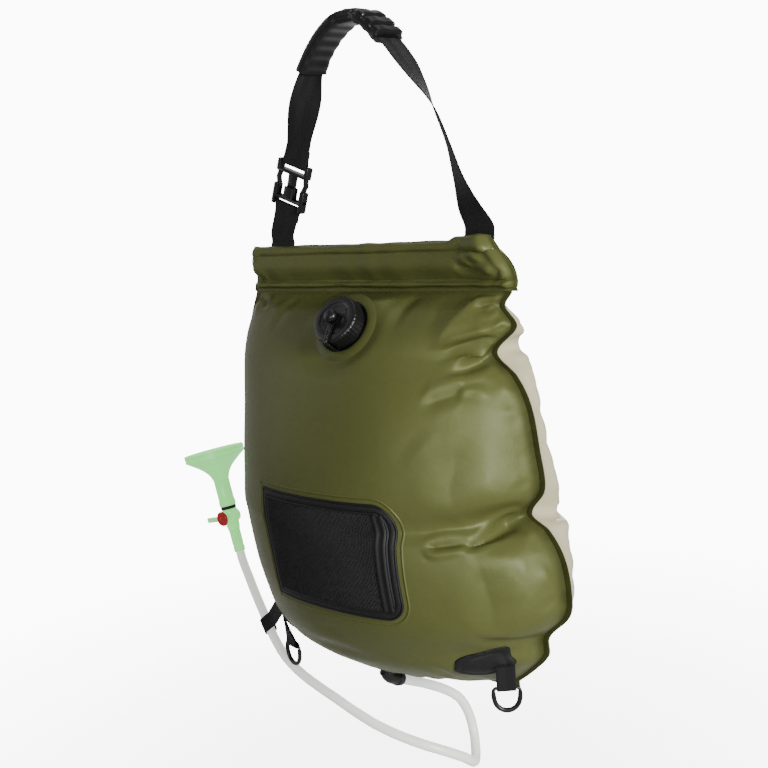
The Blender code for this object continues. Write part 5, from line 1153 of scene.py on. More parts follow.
def build_hem():
    """The hem's sleeve, cut open at the back where the webbing comes out."""
    profile = hem_profile()
    steps = np.arange(HEM_COLUMNS + 1) / HEM_COLUMNS
    lengths = np.concatenate([[0], np.cumsum([math.dist(a, b) for a, b in zip(profile, profile[1:])])])
    hem = grid_piece("hem_cloth", hem_places(profile, steps), steps * HEM_LENGTH, lengths)
    edges = [side * ANCHOR_X + half for side in (-1, 1) for half in (-ANCHOR_CUT, ANCHOR_CUT)]
    cuts = [((place, 0, 0), (1, 0, 0)) for place in edges]
    cuts += [((0, 0, ROD_Z), (0, 0, 1)), ((0, 0, 0), (0, 1, 0))]
    edit_all(hem, *[lambda cut=cut: bpy.ops.mesh.bisect(plane_co=cut[0], plane_no=cut[1]) for cut in cuts])
    delete_faces(
        hem,
        lambda face: abs(abs(face.center.x) - ANCHOR_X) < ANCHOR_CUT
        and face.center.y > 0
        and face.center.z > ROD_Z,
    )
    walled(hem, 0.0012)
    smooth(hem, 50)
    settle(hem, "bag", "olive_fabric", "hem_sleeve")


# Webbing

HALF_SECTION = (
    (-1, 0), (-0.985, 0.7), (-0.94, 1), (-0.6, 1), (-0.2, 1), (0.2, 1), (0.6, 1), (0.94, 1), (0.985, 0.7),
)
RIBBON_SECTION = (*HALF_SECTION, *[(-across, -rise) for across, rise in HALF_SECTION], (-1, 0))


def ribbon_piece(name, frames, width=WEBBING_WIDTH, thickness=WEBBING_THICKNESS):
    """Webbing through (place, width direction, thickness direction) frames."""
    rows = []
    for place, wide, thick in frames:
        row = []
        for across, rise in RIBBON_SECTION:
            row.append(tuple(place + wide * (across * width / 2) + thick * (rise * thickness / 2)))
        rows.append(row)
    across = [share * width / 2 for share, rise in RIBBON_SECTION]
    piece = grid_piece(name, rows, across, measured([frame[0] for frame in frames]))
    close_seams(piece, SEAM_REACH, fill=True)
    return smooth(piece, 50)


def frame_matrix(origin, x_axis, y_axis, z_axis):
    matrix = Matrix((x_axis, y_axis, z_axis)).transposed().to_4x4()
    matrix.translation = origin
    return matrix


FOLD_Y = 0.006
FOLD_Z = HEM_TOP_Z + 0.006
GRIP_HALF_THICKNESS = 0.0080
GRIP_HALF_WIDTH = 0.0215
STRAP_RISE = 0.240 - 0.006 + GRIP_HALF_THICKNESS
REST_HALF_LENGTH = 0.0055
REST_END = 0.0068
LIMB_STEP = 0.003
RUN_SPAN = 0.004
RIGHT_ROUTE_SHARES = (
    (0.925, 0.13), (0.848, 0.26), (0.79, 0.39), (0.717, 0.511), (0.64, 0.61), (0.545, 0.70),
    (0.45, 0.785), (0.345, 0.865), (0.19, 0.962),
)
LEFT_ROUTE_SHARES = (
    (-0.20, 0.965), (-0.331, 0.905), (-0.43, 0.84), (-0.517, 0.755), (-0.60, 0.63), (-0.655, 0.54),
    (-0.705, 0.465),
)
RIGHT_TWIST_SHARES = (
    (0, 90), (0.025, 90), (0.07, 85), (0.2, 56), (0.34, 42), (0.5, 36), (0.62, 14), (0.72, 0), (1, 0),
)
LEFT_TWIST_SHARES = ((0, 90), (0.12, 86), (0.3, 56), (0.46, 16), (0.58, 0), (1, 0))


def strap_point(x_share, rise_share):
    return Vector((ANCHOR_X * x_share, FOLD_Y * (1 - rise_share), FOLD_Z + STRAP_RISE * rise_share))


BUCKLE_BAR_RADIUS = 0.0017
BUCKLE_BAR_INSET = 0.0025
MALE_BAR_Z = -0.0025 + 0.0260 + 0.0150 + 0.0150 - BUCKLE_BAR_INSET
BUCKLE_FOOT = strap_point(-0.903, 0.165)
BUCKLE_AXIS = strap_point(-0.766, 0.3835) - BUCKLE_FOOT
BUCKLE_AXIS.y = 0
BUCKLE_AXIS.normalize()
BUCKLE_SIDE = Y_AXIS.cross(BUCKLE_AXIS).normalized()
BUCKLE_MATRIX = frame_matrix(BUCKLE_FOOT + BUCKLE_AXIS * BUCKLE_BAR_INSET, BUCKLE_SIDE, Y_AXIS, BUCKLE_AXIS)
PLY_OFFSET = WEBBING_THICKNESS / 2 + GAP
WRAP_RADIUS = BUCKLE_BAR_RADIUS + PLY_OFFSET


def wrap_points(bar_z, turn, tail_length):
    """Webbing that comes up the front of a bar, goes round it and back."""
    points = [(-PLY_OFFSET, turn * -0.009)]
    for step in range(13):
        angle = math.pi * step / 12
        points.append((-WRAP_RADIUS * math.cos(angle), turn * WRAP_RADIUS * math.sin(angle)))
    points += [(PLY_OFFSET, turn * -0.009), (PLY_OFFSET, turn * -tail_length)]
    return [BUCKLE_MATRIX @ Vector((0, back, bar_z + height)) for back, height in points]


def measured(route):
    lengths = [0]
    for first, second in zip(route, route[1:]):
        lengths.append(lengths[-1] + (second - first).length)
    return lengths


def place_at(route, lengths, distance):
    for index in range(len(route) - 1):
        if distance <= lengths[index + 1] or index == len(route) - 2:
            span = lengths[index + 1] - lengths[index]
            return route[index].lerp(route[index + 1], (distance - lengths[index]) / span)


def run_at(route, lengths, distance, level):
    """Direction of a route at a distance along it. It is level at the end where the rest starts."""
    before = place_at(route, lengths, max(distance - RUN_SPAN, 0))
    after = place_at(route, lengths, min(distance + RUN_SPAN, lengths[-1]))
    if level:
        before = Vector((before.x, before.y, after.z))
    return (after - before).normalized()


def turned_width(degrees):
    angle = math.radians(degrees)
    return Vector((-math.sin(angle), math.cos(angle), 0))


def ribbon_frames(stations):
    """Frames of (place, width direction, run) stations. A run that is None is the way from the station
    before to the one after."""
    frames = []
    for index, (place, wide, run) in enumerate(stations):
        if run is None:
            before = stations[max(index - 1, 0)][0]
            after = stations[min(index + 1, len(stations) - 1)][0]
            run = (after - before).normalized()
        wide = wide.normalized()
        frames.append((place, wide, run.cross(wide).normalized()))
    return frames


def limb_stations(limb, twist):
    """(place, width direction, run) along one limb, from its far end to the rest."""
    lengths = measured(limb)
    total = lengths[-1]
    count = math.ceil(total / LIMB_STEP)
    made = []
    for index in range(count + 1):
        distance = total * index / count
        run = run_at(limb, lengths, distance, index == count)
        made.append((place_at(limb, lengths, distance), twist(distance / total), run))
    return made


def left_width(share):
    level = turned_width(-smooth_value(LEFT_TWIST_SHARES, share))
    return level.lerp(BUCKLE_SIDE, 1 - eased(share / 0.14))


def right_width(share):
    return turned_width(smooth_value(RIGHT_TWIST_SHARES, share))


def carry_route():
    """The two limbs of the carry webbing, each from its far end up to the rest."""
    apex = strap_point(0, 1)
    fold_right = strap_point(1, 0)
    rest_end = Vector((REST_END, 0, 0))
    upper_wrap = wrap_points(MALE_BAR_Z, -1, 0.020)
    right_points = [fold_right + Z_AXIS * 0.00005, fold_right + Z_AXIS * 0.010]
    right_points += [strap_point(*shares) for shares in RIGHT_ROUTE_SHARES]
    left_points = [apex - rest_end, *[strap_point(*shares) for shares in LEFT_ROUTE_SHARES], upper_wrap[0]]
    right_limb = smooth_route([*right_points, apex + rest_end], 12, None, -X_AXIS)
    left_limb = smooth_route(left_points, 12, -X_AXIS, None)[::-1]
    return apex, limb_stations(right_limb, right_width), limb_stations(left_limb, left_width), upper_wrap


def build_carry_webbing():
    """The long webbing from the hem over the grip to the plug, the short one up to the socket, and the
    loops round the rod."""
    apex, right, left, upper_wrap = carry_route()
    fold_right = strap_point(1, 0)
    stations = [(fold_right - Z_AXIS * drop, turned_width(90), Z_AXIS) for drop in (0.0045, 0.003, 0.0015)]
    stations += right
    for x in (REST_HALF_LENGTH, -REST_HALF_LENGTH):
        stations.append((apex + X_AXIS * x, turned_width(0), -X_AXIS))
    stations += [(place, wide, -run) for place, wide, run in reversed(left)]
    stations += [(place, BUCKLE_SIDE, None) for place in upper_wrap[1:]]
    upper = ribbon_piece("carry_webbing", ribbon_frames(stations))
    settle(upper, None, "black_webbing", "strap_upper")
    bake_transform(upper)

    lower_wrap = wrap_points(0, 1, 0.016)
    fold_left = strap_point(-1, 0)
    points = [fold_left + Z_AXIS * rise for rise in (-0.0045, 0.00005, 0.010)]
    points += [BUCKLE_MATRIX @ Vector((0, -PLY_OFFSET, -0.020)), lower_wrap[0]]
    route = smooth_route(points, 6) + lower_wrap[1:]
    count = len(route) - len(lower_wrap)
    stations = []
    for index, place in enumerate(route):
        stations.append((place, X_AXIS.lerp(BUCKLE_SIDE, eased(index / count)), None))
    lower = ribbon_piece("buckle_webbing", ribbon_frames(stations))
    settle(lower, None, "black_webbing", "strap_lower")
    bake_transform(lower)

    for name, side in (("left", -1), ("right", 1)):
        rod = Vector((side * ANCHOR_X, 0, ROD_Z))
        fold = Vector((side * ANCHOR_X, FOLD_Y, FOLD_Z - 0.0009))
        loop = webbing_loop("hem_loop_" + name, ROD_RADIUS + GAP, WEBBING_WIDTH, rod, fold, X_AXIS)
        settle(loop, "bag", "black_webbing", "strap_anchor_" + name)


ROD_RADIUS = 0.0065
# Half the distance between a loop's two plies, as a share of their thickness. They don't touch.
PLY_SHARE = 0.51


def webbing_loop(name, hole_radius, width, start, end, bar_axis, end_axis=None):
    """Webbing round a bar at start, with its two plies together up to end."""
    across = Vector(bar_axis).normalized()
    span = Vector(end) - Vector(start)
    span -= across * span.dot(across)
    reach = span.length
    along = span.normalized()
    side = along.cross(across).normalized()
    ring = hole_radius + WEBBING_THICKNESS / 2
    half = WEBBING_THICKNESS * PLY_SHARE
    line = [(-half, reach), (-half, reach * 0.75 + ring * 0.4), (-half, ring * 2.1)]
    if reach < ring * 3:
        line = [(-half, reach), (-half, ring * 1.7)]
    back = [(-off, up) for off, up in reversed(line)]
    for step in range(19):
        angle = math.radians(150 + 240 * step / 18)
        line.append((ring * math.cos(angle), ring * math.sin(angle)))
    line += back
    turn = 0.0
    if end_axis is not None:
        turn = math.atan2(end_axis.dot(side), end_axis.dot(across))
    frames = []
    for index, (off, up) in enumerate(line):
        before = line[max(index - 1, 0)]
        after = line[min(index + 1, len(line) - 1)]
        run = Vector((after[0] - before[0], after[1] - before[1])).normalized()
        twist = Matrix.Rotation(turn * eased(up / reach), 3, along)
        place = Vector(start) + twist @ (side * off) + along * up
        frames.append((place, twist @ across, twist @ (side * run.y - along * run.x)))
    return ribbon_piece(name, frames, width)


# Grip

GRIP_RIGHT_LENGTH = 0.058
GRIP_LEFT_LENGTH = 0.090
GRIP_AROUND = 72
GRIP_STEP = 0.0009
LEFT_BLOCKS = ((0.26, 0.43), (0.49, 0.65), (0.71, 0.87))
RIGHT_BLOCKS = ((0.33, 0.51), (0.57, 0.75), (0.81, 0.97))
BLOCK_SLOPE = 0.0016
RIB_PITCH = 0.0032
FINGER_PITCH = 0.0145


def grip_shape(distance, reach, left):
    """Half width of the grip and how much of a raised block there is at a distance from its middle."""
    share = distance / reach
    flare = 0.0007 * eased((share - 0.82) / 0.14)
    waist = 0.0030 * (1 - eased((distance - 0.008) / 0.010))
    slope = BLOCK_SLOPE / reach
    block = 0.0
    for start, end in LEFT_BLOCKS if left else RIGHT_BLOCKS:
        block = max(block, eased((share - start) / slope) * eased((end - share) / slope))
    return GRIP_HALF_WIDTH - waist + flare, block


def grip_section(distance, reach, left):
    """(across, up) places round the grip: blocks on its top, ribs at its middle and finger waves below."""
    half_width, block = grip_shape(distance, reach, left)
    ring = []
    for step in range(GRIP_AROUND + 1):
        angle = 2 * math.pi * step / GRIP_AROUND
        c, s = math.cos(angle), math.sin(angle)
        across = math.copysign(abs(c) ** 0.42, c) * half_width
        up = math.copysign(abs(s) ** 0.62, s) * GRIP_HALF_THICKNESS
        if s > 0 and distance > 0.012:
            lid = eased(s * 2.2)
            if left:
                channel = 1 - eased((abs(across) / half_width - 0.60) / 0.08)
                up += lid * (channel * (-0.0026 + 0.0046 * block) - (1 - channel) * 0.0006)
                if 0.12 < block < 0.9:
                    up -= 0.0004 * channel
            else:
                notch = 1 - eased((abs(across) - 0.0035) / 0.0015)
                up += lid * (0.0020 * block - 0.0012 * (1 - block) - 0.0010 * notch * block)
                across *= 1 - 0.10 * lid * (1 - block)
        elif s > 0:
            rib = 0.5 + 0.5 * math.cos(2 * math.pi * distance / RIB_PITCH)
            up -= 0.0007 * rib * eased(s * 3) * eased(distance / 0.002)
            up += 0.0006 * (1 - eased(distance / 0.0012)) * eased(s * 3)
        if s < 0 and distance > REST_END + 0.003:
            wave = 0.5 - 0.5 * math.cos(2 * math.pi * (distance - REST_END) / FINGER_PITCH)
            up += 0.0009 * wave * eased(-s * 2)
        ring.append((across, up))
    return ring


def grip_limb(limb, reach, left):
    """The grip's stations over one limb, from its end to the rest: place, width and thickness direction,
    and what grip_section needs."""
    points = [place for place, wide, run in limb]
    lengths = measured(points)
    count = math.ceil((reach - REST_END) / GRIP_STEP)
    chain = []
    for index in range(count + 1):
        distance = reach - (reach - REST_END) * index / count
        along = lengths[-1] - (distance - REST_END)
        nearest = min(range(len(points)), key=lambda item: abs(lengths[item] - along))
        wide = limb[nearest][1].normalized()
        thick = run_at(points, lengths, along, index == count).cross(wide).normalized()
        if thick.z < 0:
            thick = -thick
        if wide.y < 0:
            wide = -wide
        chain.append((place_at(points, lengths, along), wide, thick, distance, reach, left))
    return chain


def build_grip():
    """The grip round both limbs of the webbing, from its right end to its left one."""
    apex, right, left, upper_wrap = carry_route()
    stations = grip_limb(right, GRIP_RIGHT_LENGTH, False)
    for step in range(1, 12):
        x = REST_END * (1 - step / 6)
        stations.append((apex + X_AXIS * x, Y_AXIS, Z_AXIS, abs(x), GRIP_LEFT_LENGTH, x < 0))
    stations += reversed(grip_limb(left, GRIP_LEFT_LENGTH, True))
    rows = []
    for place, wide, thick, *where in stations:
        rows.append([tuple(place + wide * across + thick * up) for across, up in grip_section(*where)])
    piece = grid_piece("grip_sleeve", rows)
    close_seams(piece, SEAM_REACH, fill=True)
    smooth(piece, 45)
    settle(piece, "handle", "black_plastic", "grip")


BUCKLE_BODIES = {
    "buckle_female": "handle",
    "buckle_male": "handle",
    "buckle_arm_left": "arm_left",
    "buckle_arm_right": "arm_right",
}


def build_buckle():
    for node, body in BUCKLE_BODIES.items():
        settle(refined(node, node + "_moulding", 0.0005), body, "black_plastic", node)


# Fill valve, its profiles in millimetres

VALVE_NORMAL = Vector((0, -math.cos(VALVE_LEAN), math.sin(VALVE_LEAN)))
VALVE_UP = VALVE_NORMAL.cross(X_AXIS)
VALVE_MATRIX = frame_matrix(Vector((0, VALVE_Y, VALVE_Z)), X_AXIS, VALVE_UP, VALVE_NORMAL)
CAP_TOP_Z = 0.0225
CAP_GROOVES = 42
WASHER_THICKNESS = 0.0016
COLLAR_PROFILE = from_mm(
    (23, 17), (23, 1.8), (29.2, 1.8), (29.6, 2.4), (30.9, 2.4), (31.2, 1.8), (36.2, 1.8), (37, 1),
    (37, -1.2), (19, -1.2), (19, 17),
)
CAP_PROFILE = from_mm(
    (0, 21.9), (19.5, 21.9), (20.5, 22.5), (26.8, 22.5), (29, 20.6), (29, 6.4), (28.5, 5.2),
    (23.6, 5.2), (23.6, 19.5), (0, 19.5),
)
CAP_STEP_PROFILE = from_mm((15, 21.8), (15, 22.3), (15.8, 22.3), (15.8, 21.8))
CAP_RIDGE = from_mm(
    (18.5, 11, 22.1), (15, 12.5, 22.1), (11.8, 10.8, 22.1), (10.6, 7, 22.1), (12.2, 3.4, 22.1),
    (13.4, -0.2, 22.1), (12, -4, 22.1),
)
KNOB_PROFILE = from_mm((0, 9.5), (4.5, 9.2), (7.4, 6.6), (8, 3.8), (7.4, 0.8), (6.2, 0), (4.2, 0))


def groove_cap(cap):
    """Cuts fine grooves round the cap's skirt."""
    for vert in cap.data.vertices:
        radius = math.hypot(vert.co.x, vert.co.y)
        if radius > 0.0275 and 0.006 < vert.co.z < 0.0212:
            wave = 0.5 + 0.5 * math.cos(CAP_GROOVES * math.atan2(vert.co.y, vert.co.x))
            depth = sizes().cap_groove * wave * eased((vert.co.z - 0.006) / 0.0006)
            vert.co.x *= 1 - depth / radius
            vert.co.y *= 1 - depth / radius


def build_valve():
    """The valve's collar, its screw cap with the knob, and the tether."""
    base = soft_lathe("valve_collar", COLLAR_PROFILE, 0.0006, 2, 96, VALVE_MATRIX)
    settle(base, "bag", "black_plastic", "valve_base")
    cap = soft_lathe("screw_cap", CAP_PROFILE, 0.0009, 3, 168, closed=False)
    groove_cap(cap)
    ridge = tube("cap_ridge", smooth_route([Vector(place) for place in CAP_RIDGE], 6), 0.0005, 4)
    rim = soft_lathe("cap_step", CAP_STEP_PROFILE, 0.0002, 2, 96)
    cap = moved(joined("screw_cap", cap, ridge, rim), VALVE_MATRIX)
    smooth(cap, 35)
    settle(cap, "cap", "black_plastic", "fill_cap")

    foot = CAP_TOP_Z + GAP
    neck = foot + WASHER_THICKNESS + 3 * GAP
    profile = [(radius, neck + height) for radius, height in KNOB_PROFILE] + [(0.0042, foot), (0, foot)]
    knob = soft_lathe("cap_button", profile, 0.0016, 4, 64, VALVE_MATRIX, closed=False)
    settle(knob, "cap", "black_plastic", "cap_knob")

    strap = foot + WASHER_THICKNESS
    line = (
        (-0.0084, strap), (-0.0286, strap), (-0.0305, strap - 0.0005), (-0.03175, strap - 0.0022),
        (-0.0319, CAP_TOP_Z - 0.0040), (-0.0319, 0.0056),
    )
    ridges = []
    for side in (-0.0024, 0, 0.0024):
        ridges.append(moved(tube("tether_rib", [(side, y, z) for y, z in line], 0.0004, 3), VALVE_MATRIX))
    tether = joined("tether", refined("cap_tether", "tether", 0.0003), *ridges)
    smooth(tether, 40)
    settle(tether, "cap_carrier", "black_plastic", "cap_tether")


# Pocket, its sections as (share across, height over the cloth in millimetres)

POCKET_CENTRE_X = 0.010
POCKET_CENTRE_Z = HEM_LIP_Z - 0.273
POCKET_WIDTH = 0.186
POCKET_HEIGHT = 0.126
POCKET_SHEAR = 0.014
POCKET_BORDER = 0.011
POCKET_CORNER = 0.022
POCKET_PITCH = 0.0028
PLACKET_WIDTH = 0.012
WINDOW_HALF_WIDTH = POCKET_WIDTH / 2 - POCKET_BORDER
WINDOW_HALF_HEIGHT = POCKET_HEIGHT / 2 - POCKET_BORDER
EMBOSS_SECTION = ((0, 0.2), (0.15, 1.1), (0.5, 1.6), (0.85, 1.1), (1, 0.2))
BORDER_SECTION = (
    (0, 0.4), (0.03, 2.2), (0.10, 2.7), (0.17, 2.4), (0.22, 1.6), (0.28, 2.3), (0.5, 2.5), (0.72, 2.3),
    (0.78, 1.6), (0.84, 2.4), (0.92, 2.8), (0.98, 2.3), (1, 0.6),
)
PLACKET_SECTION = (
    (0, 1.4), (0.12, 2.6), (0.24, 2.6), (0.36, 1.8), (0.64, 1.8), (0.76, 2.6), (0.88, 2.6), (1, 1.4),
)
LINING_HEIGHT = 0.0011
NET_HEIGHT = 0.0019


def on_front(x, z, lift=0.0):
    """The place this far outside the front cloth's middle surface, and the cloth's normal there."""
    place, normal, index, distance = Skins.front.ray_cast(Vector((x, -1, z)), Y_AXIS)
    return place + normal * lift, normal


def near_front(place, lift):
    """The front cloth's nearest place to a point, this far outside its middle surface."""
    found, normal, index, distance = Skins.front.find_nearest(place)
    return found + normal * lift


def on_pocket(across, rise, lift):
    """The place at a distance across and up from the pocket's centre, this far outside the cloth."""
    x = POCKET_CENTRE_X + across - POCKET_SHEAR * rise / POCKET_HEIGHT
    return tuple(on_front(x, POCKET_CENTRE_Z + rise, lift)[0])


def pocket_outline(inset):
    """An outline this far inside the pocket's: square on the left and rounded on the right,
    anticlockwise. Two of them have the same number of corners."""
    half_width = POCKET_WIDTH / 2 - inset
    half_height = POCKET_HEIGHT / 2 - inset
    corner = POCKET_CORNER - inset
    corners = [(-half_width, half_height), (-half_width, -half_height)]
    for side, start in ((-1, -math.pi / 2), (1, 0)):
        for index in range(11):
            angle = start + math.pi / 2 * index / 10
            across = half_width - corner + corner * math.cos(angle)
            corners.append((across, side * (half_height - corner) + corner * math.sin(angle)))
    return corners


def between(first, second, share):
    return first[0] + (second[0] - first[0]) * share, first[1] + (second[1] - first[1]) * share


def pocket_ring(name, outset, inset, section):
    """A closed band between two outlines that lies on the front, with its section from the outer one to
    the inner one."""
    outer = pocket_outline(outset)
    inner = pocket_outline(inset)
    count = len(outer)
    rows = []
    for index in range(count):
        following = (index + 1) % count
        pieces = max(1, round(math.dist(outer[index], outer[following]) / POCKET_PITCH))
        for step in range(pieces):
            ends = [between(line[index], line[following], step / pieces) for line in (outer, inner)]
            row = []
            for share, height in [*section, (1, 0.0), (0, 0.0), section[0]]:
                row.append(on_pocket(*between(*ends, share), height / 1000))
            rows.append(row)
    rows.append(rows[0])
    width = math.dist(outer[0], inner[0])
    across = [share * width for share, height in section] + [width, 0, 0]
    piece = grid_piece(name, rows, across, np.arange(len(rows)) * POCKET_PITCH)
    close_seams(piece, SEAM_REACH)
    return smooth(piece, 50)


def pocket_sheet(name, left, right, half_height, columns, rows, lift):
    """A grid in the pocket's window, with lift(share across) as its height over the cloth."""
    across = np.linspace(left, right, columns + 1)
    rises = np.linspace(-half_height, half_height, rows + 1)
    lifts = [lift(column / columns) for column in range(columns + 1)]
    places = [[on_pocket(place, rise, height) for place, height in zip(across, lifts)] for rise in rises]
    return grid_piece(name, places, across, rises)


def build_pocket():
    """The pocket's welded border, its net with a lining behind it, and its opening edge."""
    border = pocket_ring("pocket_border", 0, POCKET_BORDER, BORDER_SECTION)
    settle(border, "bag", "black_trim", "pocket_frame")
    placket_right = WINDOW_HALF_WIDTH - GAP
    placket_left = placket_right - PLACKET_WIDTH
    right = WINDOW_HALF_WIDTH + 0.003
    top = WINDOW_HALF_HEIGHT + 0.003
    lining = pocket_sheet("pocket_lining", -right, right, top, 60, 44, lambda share: LINING_HEIGHT)
    walled(lining, 0.0004)
    left = -WINDOW_HALF_WIDTH - 0.001
    right = placket_left + 0.001
    top = WINDOW_HALF_HEIGHT + 0.001
    net = pocket_sheet("pocket_net", left, right, top, 88, 60, lambda share: NET_HEIGHT)
    threads = net.modifiers.new("threads", "WIREFRAME")
    threads.thickness = sizes().net_wire
    threads.use_even_offset = False
    threads.use_boundary = True
    threads.use_replace = True
    apply_modifiers(net)
    net = joined("pocket_net", net, lining)
    smooth(net, 30)
    settle(net, "bag", "black_mesh", "pocket_mesh")
    placket = pocket_sheet(
        "pocket_tape",
        placket_left,
        placket_right,
        WINDOW_HALF_HEIGHT - GAP,
        16,
        44,
        lambda share: smooth_value(PLACKET_SECTION, share) / 1000,
    )
    walled(placket, 0.0012)
    smooth(placket, 50)
    settle(placket, "bag", "black_trim", "pocket_placket")


# Corners

RIGHT_PATCH = (0.160, HEM_LIP_Z - 0.397)
LEFT_PATCH = (-0.146, HEM_LIP_Z - 0.400)
RIGHT_BAR = Vector((0.180, -0.048, HEM_LIP_Z - 0.424))
LEFT_BAR = Vector((-0.144, -0.046, HEM_LIP_Z - 0.443))
RIGHT_RING_YAW = math.radians(38)
LEFT_RING_YAW = math.radians(-14)
RIGHT_LOBES = ((0.95, 0.45, 0.42), (-0.1, 0.20, 0.45), (3.1, -0.12, 0.4))
LEFT_LOBES = ((1.3, 0.25, 0.35), (3.0, 0.08, 0.4))
PATCH_SPOKES = 72
PATCH_HALF_WIDTH = 0.033
PATCH_HALF_HEIGHT = 0.018
PATCH_SECTION = (
    (0.0001, 0.0024), (0.25, 0.0024), (0.5, 0.0024), (0.66, 0.0023), (0.72, 0.0017), (0.78, 0.0023),
    (0.9, 0.0025), (0.975, 0.0021), (1, 0.0008), (1, 0.0), (0.0001, 0.0),
)
RING_WIRE = 0.0019
RING_THICKER = 0.4
RING_HALF_WIDTH = 0.0145
RING_DEPTH = 0.026
RING_CORNER = 0.003
TAB_WIDTH = 0.021
BAND_WIDTH = 0.020
BAND_GAP = 0.0009
TAB_LIFT = 0.0006 + GAP + 0.0014 + 0.0016
# Name, patch and its lobes, ring bar and its turn, and how much more the tab's end stands off the cloth
CORNERS = (
    ("right", RIGHT_PATCH, RIGHT_LOBES, RIGHT_BAR, RIGHT_RING_YAW, -0.0006),
    ("left", LEFT_PATCH, LEFT_LOBES, LEFT_BAR, LEFT_RING_YAW, 0.0020),
)


def patch_piece(name, place, lobes):
    """A welded patch: an ellipse with lobes, each (angle, reach, spread), laid on the cloth."""
    centre, normal = on_front(*place)
    side = Z_AXIS.cross(normal).normalized()
    up = normal.cross(side)
    rows = []
    for share, height in PATCH_SECTION:
        line = []
        for step in range(PATCH_SPOKES + 1):
            angle = 2 * math.pi * step / PATCH_SPOKES
            reach = share
            for lobe_angle, lobe_reach, spread in lobes:
                off = math.atan2(math.sin(angle - lobe_angle), math.cos(angle - lobe_angle))
                reach += share * lobe_reach * math.exp(-((off / spread) ** 2))
            across = side * (PATCH_HALF_WIDTH * math.cos(angle) * reach)
            rise = up * (PATCH_HALF_HEIGHT * math.sin(angle) * reach)
            line.append(tuple(near_front(centre + across + rise, height)))
        rows.append(line)
    along = [share * 0.03 for share, height in PATCH_SECTION]
    piece = grid_piece(name, rows, np.linspace(0, 0.16, PATCH_SPOKES + 1), along)
    close_seams(piece, 0.00002)
    return smooth(piece, 50)


def ring_piece(name, bar, yaw):
    """A D-ring that hangs on its straight bar, with a thicker wire below the bar."""
    half, corner = RING_HALF_WIDTH, RING_CORNER
    points = [((half - corner) * (step / 4 - 1), 0, 0) for step in range(9)]
    points += [(half - corner / 3, 0, -corner / 3), (half, 0, -corner)]
    for step in range(1, 36):
        angle = math.pi * step / 36
        drop = corner + (RING_DEPTH - corner) * math.sin(angle) ** (2 / 3)
        points.append((half * math.cos(angle), 0, -drop))
    points += [(-half, 0, -corner), (-half + corner / 3, 0, -corner / 3)]
    points = [Vector(place) for place in points]
    piece = tube(name, points, RING_WIRE, 6, cyclic=True)
    for vert in piece.data.vertices:
        nearest = min(points, key=lambda point: (point - vert.co).length)
        thicker = 1 + RING_THICKER * eased((-nearest.z - 0.002) / 0.004)
        vert.co = nearest + (vert.co - nearest) * thicker
    return moved(piece, Matrix.Translation(bar) @ Matrix.Rotation(yaw, 4, "Z"))


def build_corners():
    """The patches, the rings, their tabs and the band that holds the hose."""
    for name, place, lobes, *others in CORNERS:
        patch = patch_piece("corner_weld_" + name, place, lobes)
        settle(patch, "bag", "black_trim", "corner_patch_" + name)
    for name, place, lobes, bar, yaw, rest in CORNERS:
        ring = ring_piece("ring_" + name + "_wire", bar, yaw)
        settle(ring, "ring_" + name, "black_plastic", "d_ring_" + name)
    ends = {}
    for name, place, lobes, bar, yaw, rest in CORNERS:
        ends[name], normal = on_front(*place, TAB_LIFT + rest)
        level = Z_AXIS.cross(normal).normalized()
        axis = Vector((math.cos(yaw), math.sin(yaw), 0))
        tab = webbing_loop("ring_tab_" + name, RING_WIRE + GAP, TAB_WIDTH, bar, ends[name], axis, level)
        settle(tab, "bag", "black_webbing", "corner_tab_" + name)
    band_end = LEFT_BAR.lerp(ends["left"], 0.78) + Vector((-0.0005, 0.0045, 0))
    route = hose_line(3)
    index = round(0.845 * (len(route) - 1))
    run = (route[index + 1] - route[index - 1]).normalized()
    band = webbing_loop("hose_band", 0.006 + BAND_GAP, BAND_WIDTH, route[index], band_end, run)
    settle(band, "bag", "black_webbing", "hose_strap")


# Outlet and hose. The hose's places are (x, y, distance below the hem's lip).

OUTLET_X = 0.018
OUTLET_Z = PANEL_TOP_Z - PANEL_DROP * 0.984
OUTLET_PROFILE = from_mm(
    (4.2, 2.2), (9.5, 2.2), (10, 3.4), (12.2, 3.4), (13, 2.2), (16.2, 2.2), (17, 1.4), (17, -3), (4.2, -3)
)
OUTLET_FACE = 0.0022
ELBOW_PROFILE = from_mm((7, -1.6), (8.8, -1.6), (8.8, 1.6), (7, 1.6))
ELBOW_RADIUS = 0.0080
ELBOW_RINGS = (3, 18)
HOSE_DROPS = (
    (0.021, -0.030, 0.459), (0.022, -0.002, 0.474), (0.022, 0.025, 0.490), (0.022, 0.052, 0.508),
    (0.024, 0.074, 0.528), (0.028, 0.085, 0.553), (0.036, 0.082, 0.578), (0.051, 0.062, 0.592),
    (0.067, 0.035, 0.583), (0.071, 0.010, 0.564), (0.060, -0.013, 0.548), (0.041, -0.031, 0.536),
    (0.016, -0.043, 0.526), (-0.013, -0.049, 0.517), (-0.044, -0.050, 0.508), (-0.074, -0.049, 0.499),
    (-0.105, -0.046, 0.492), (-0.136, -0.043, 0.483), (-0.165, -0.039, 0.470), (-0.190, -0.033, 0.451),
    (-0.211, -0.026, 0.428), (-0.2345, -0.0165, 0.406), (-0.2560, -0.0070, 0.3855), (-0.2745, 0, 0.361),
)
HOSE_POINTS = [Vector((x, y, HEM_LIP_Z - drop)) for x, y, drop in HOSE_DROPS]
HEAD_LEAN = math.radians(13)
HEAD_AXIS = Vector((-math.sin(HEAD_LEAN), 0, math.cos(HEAD_LEAN)))
HOSE_START_DIP = math.radians(28.1)
HOSE_START_RUN = Vector((0, math.cos(HOSE_START_DIP), -math.sin(HOSE_START_DIP)))
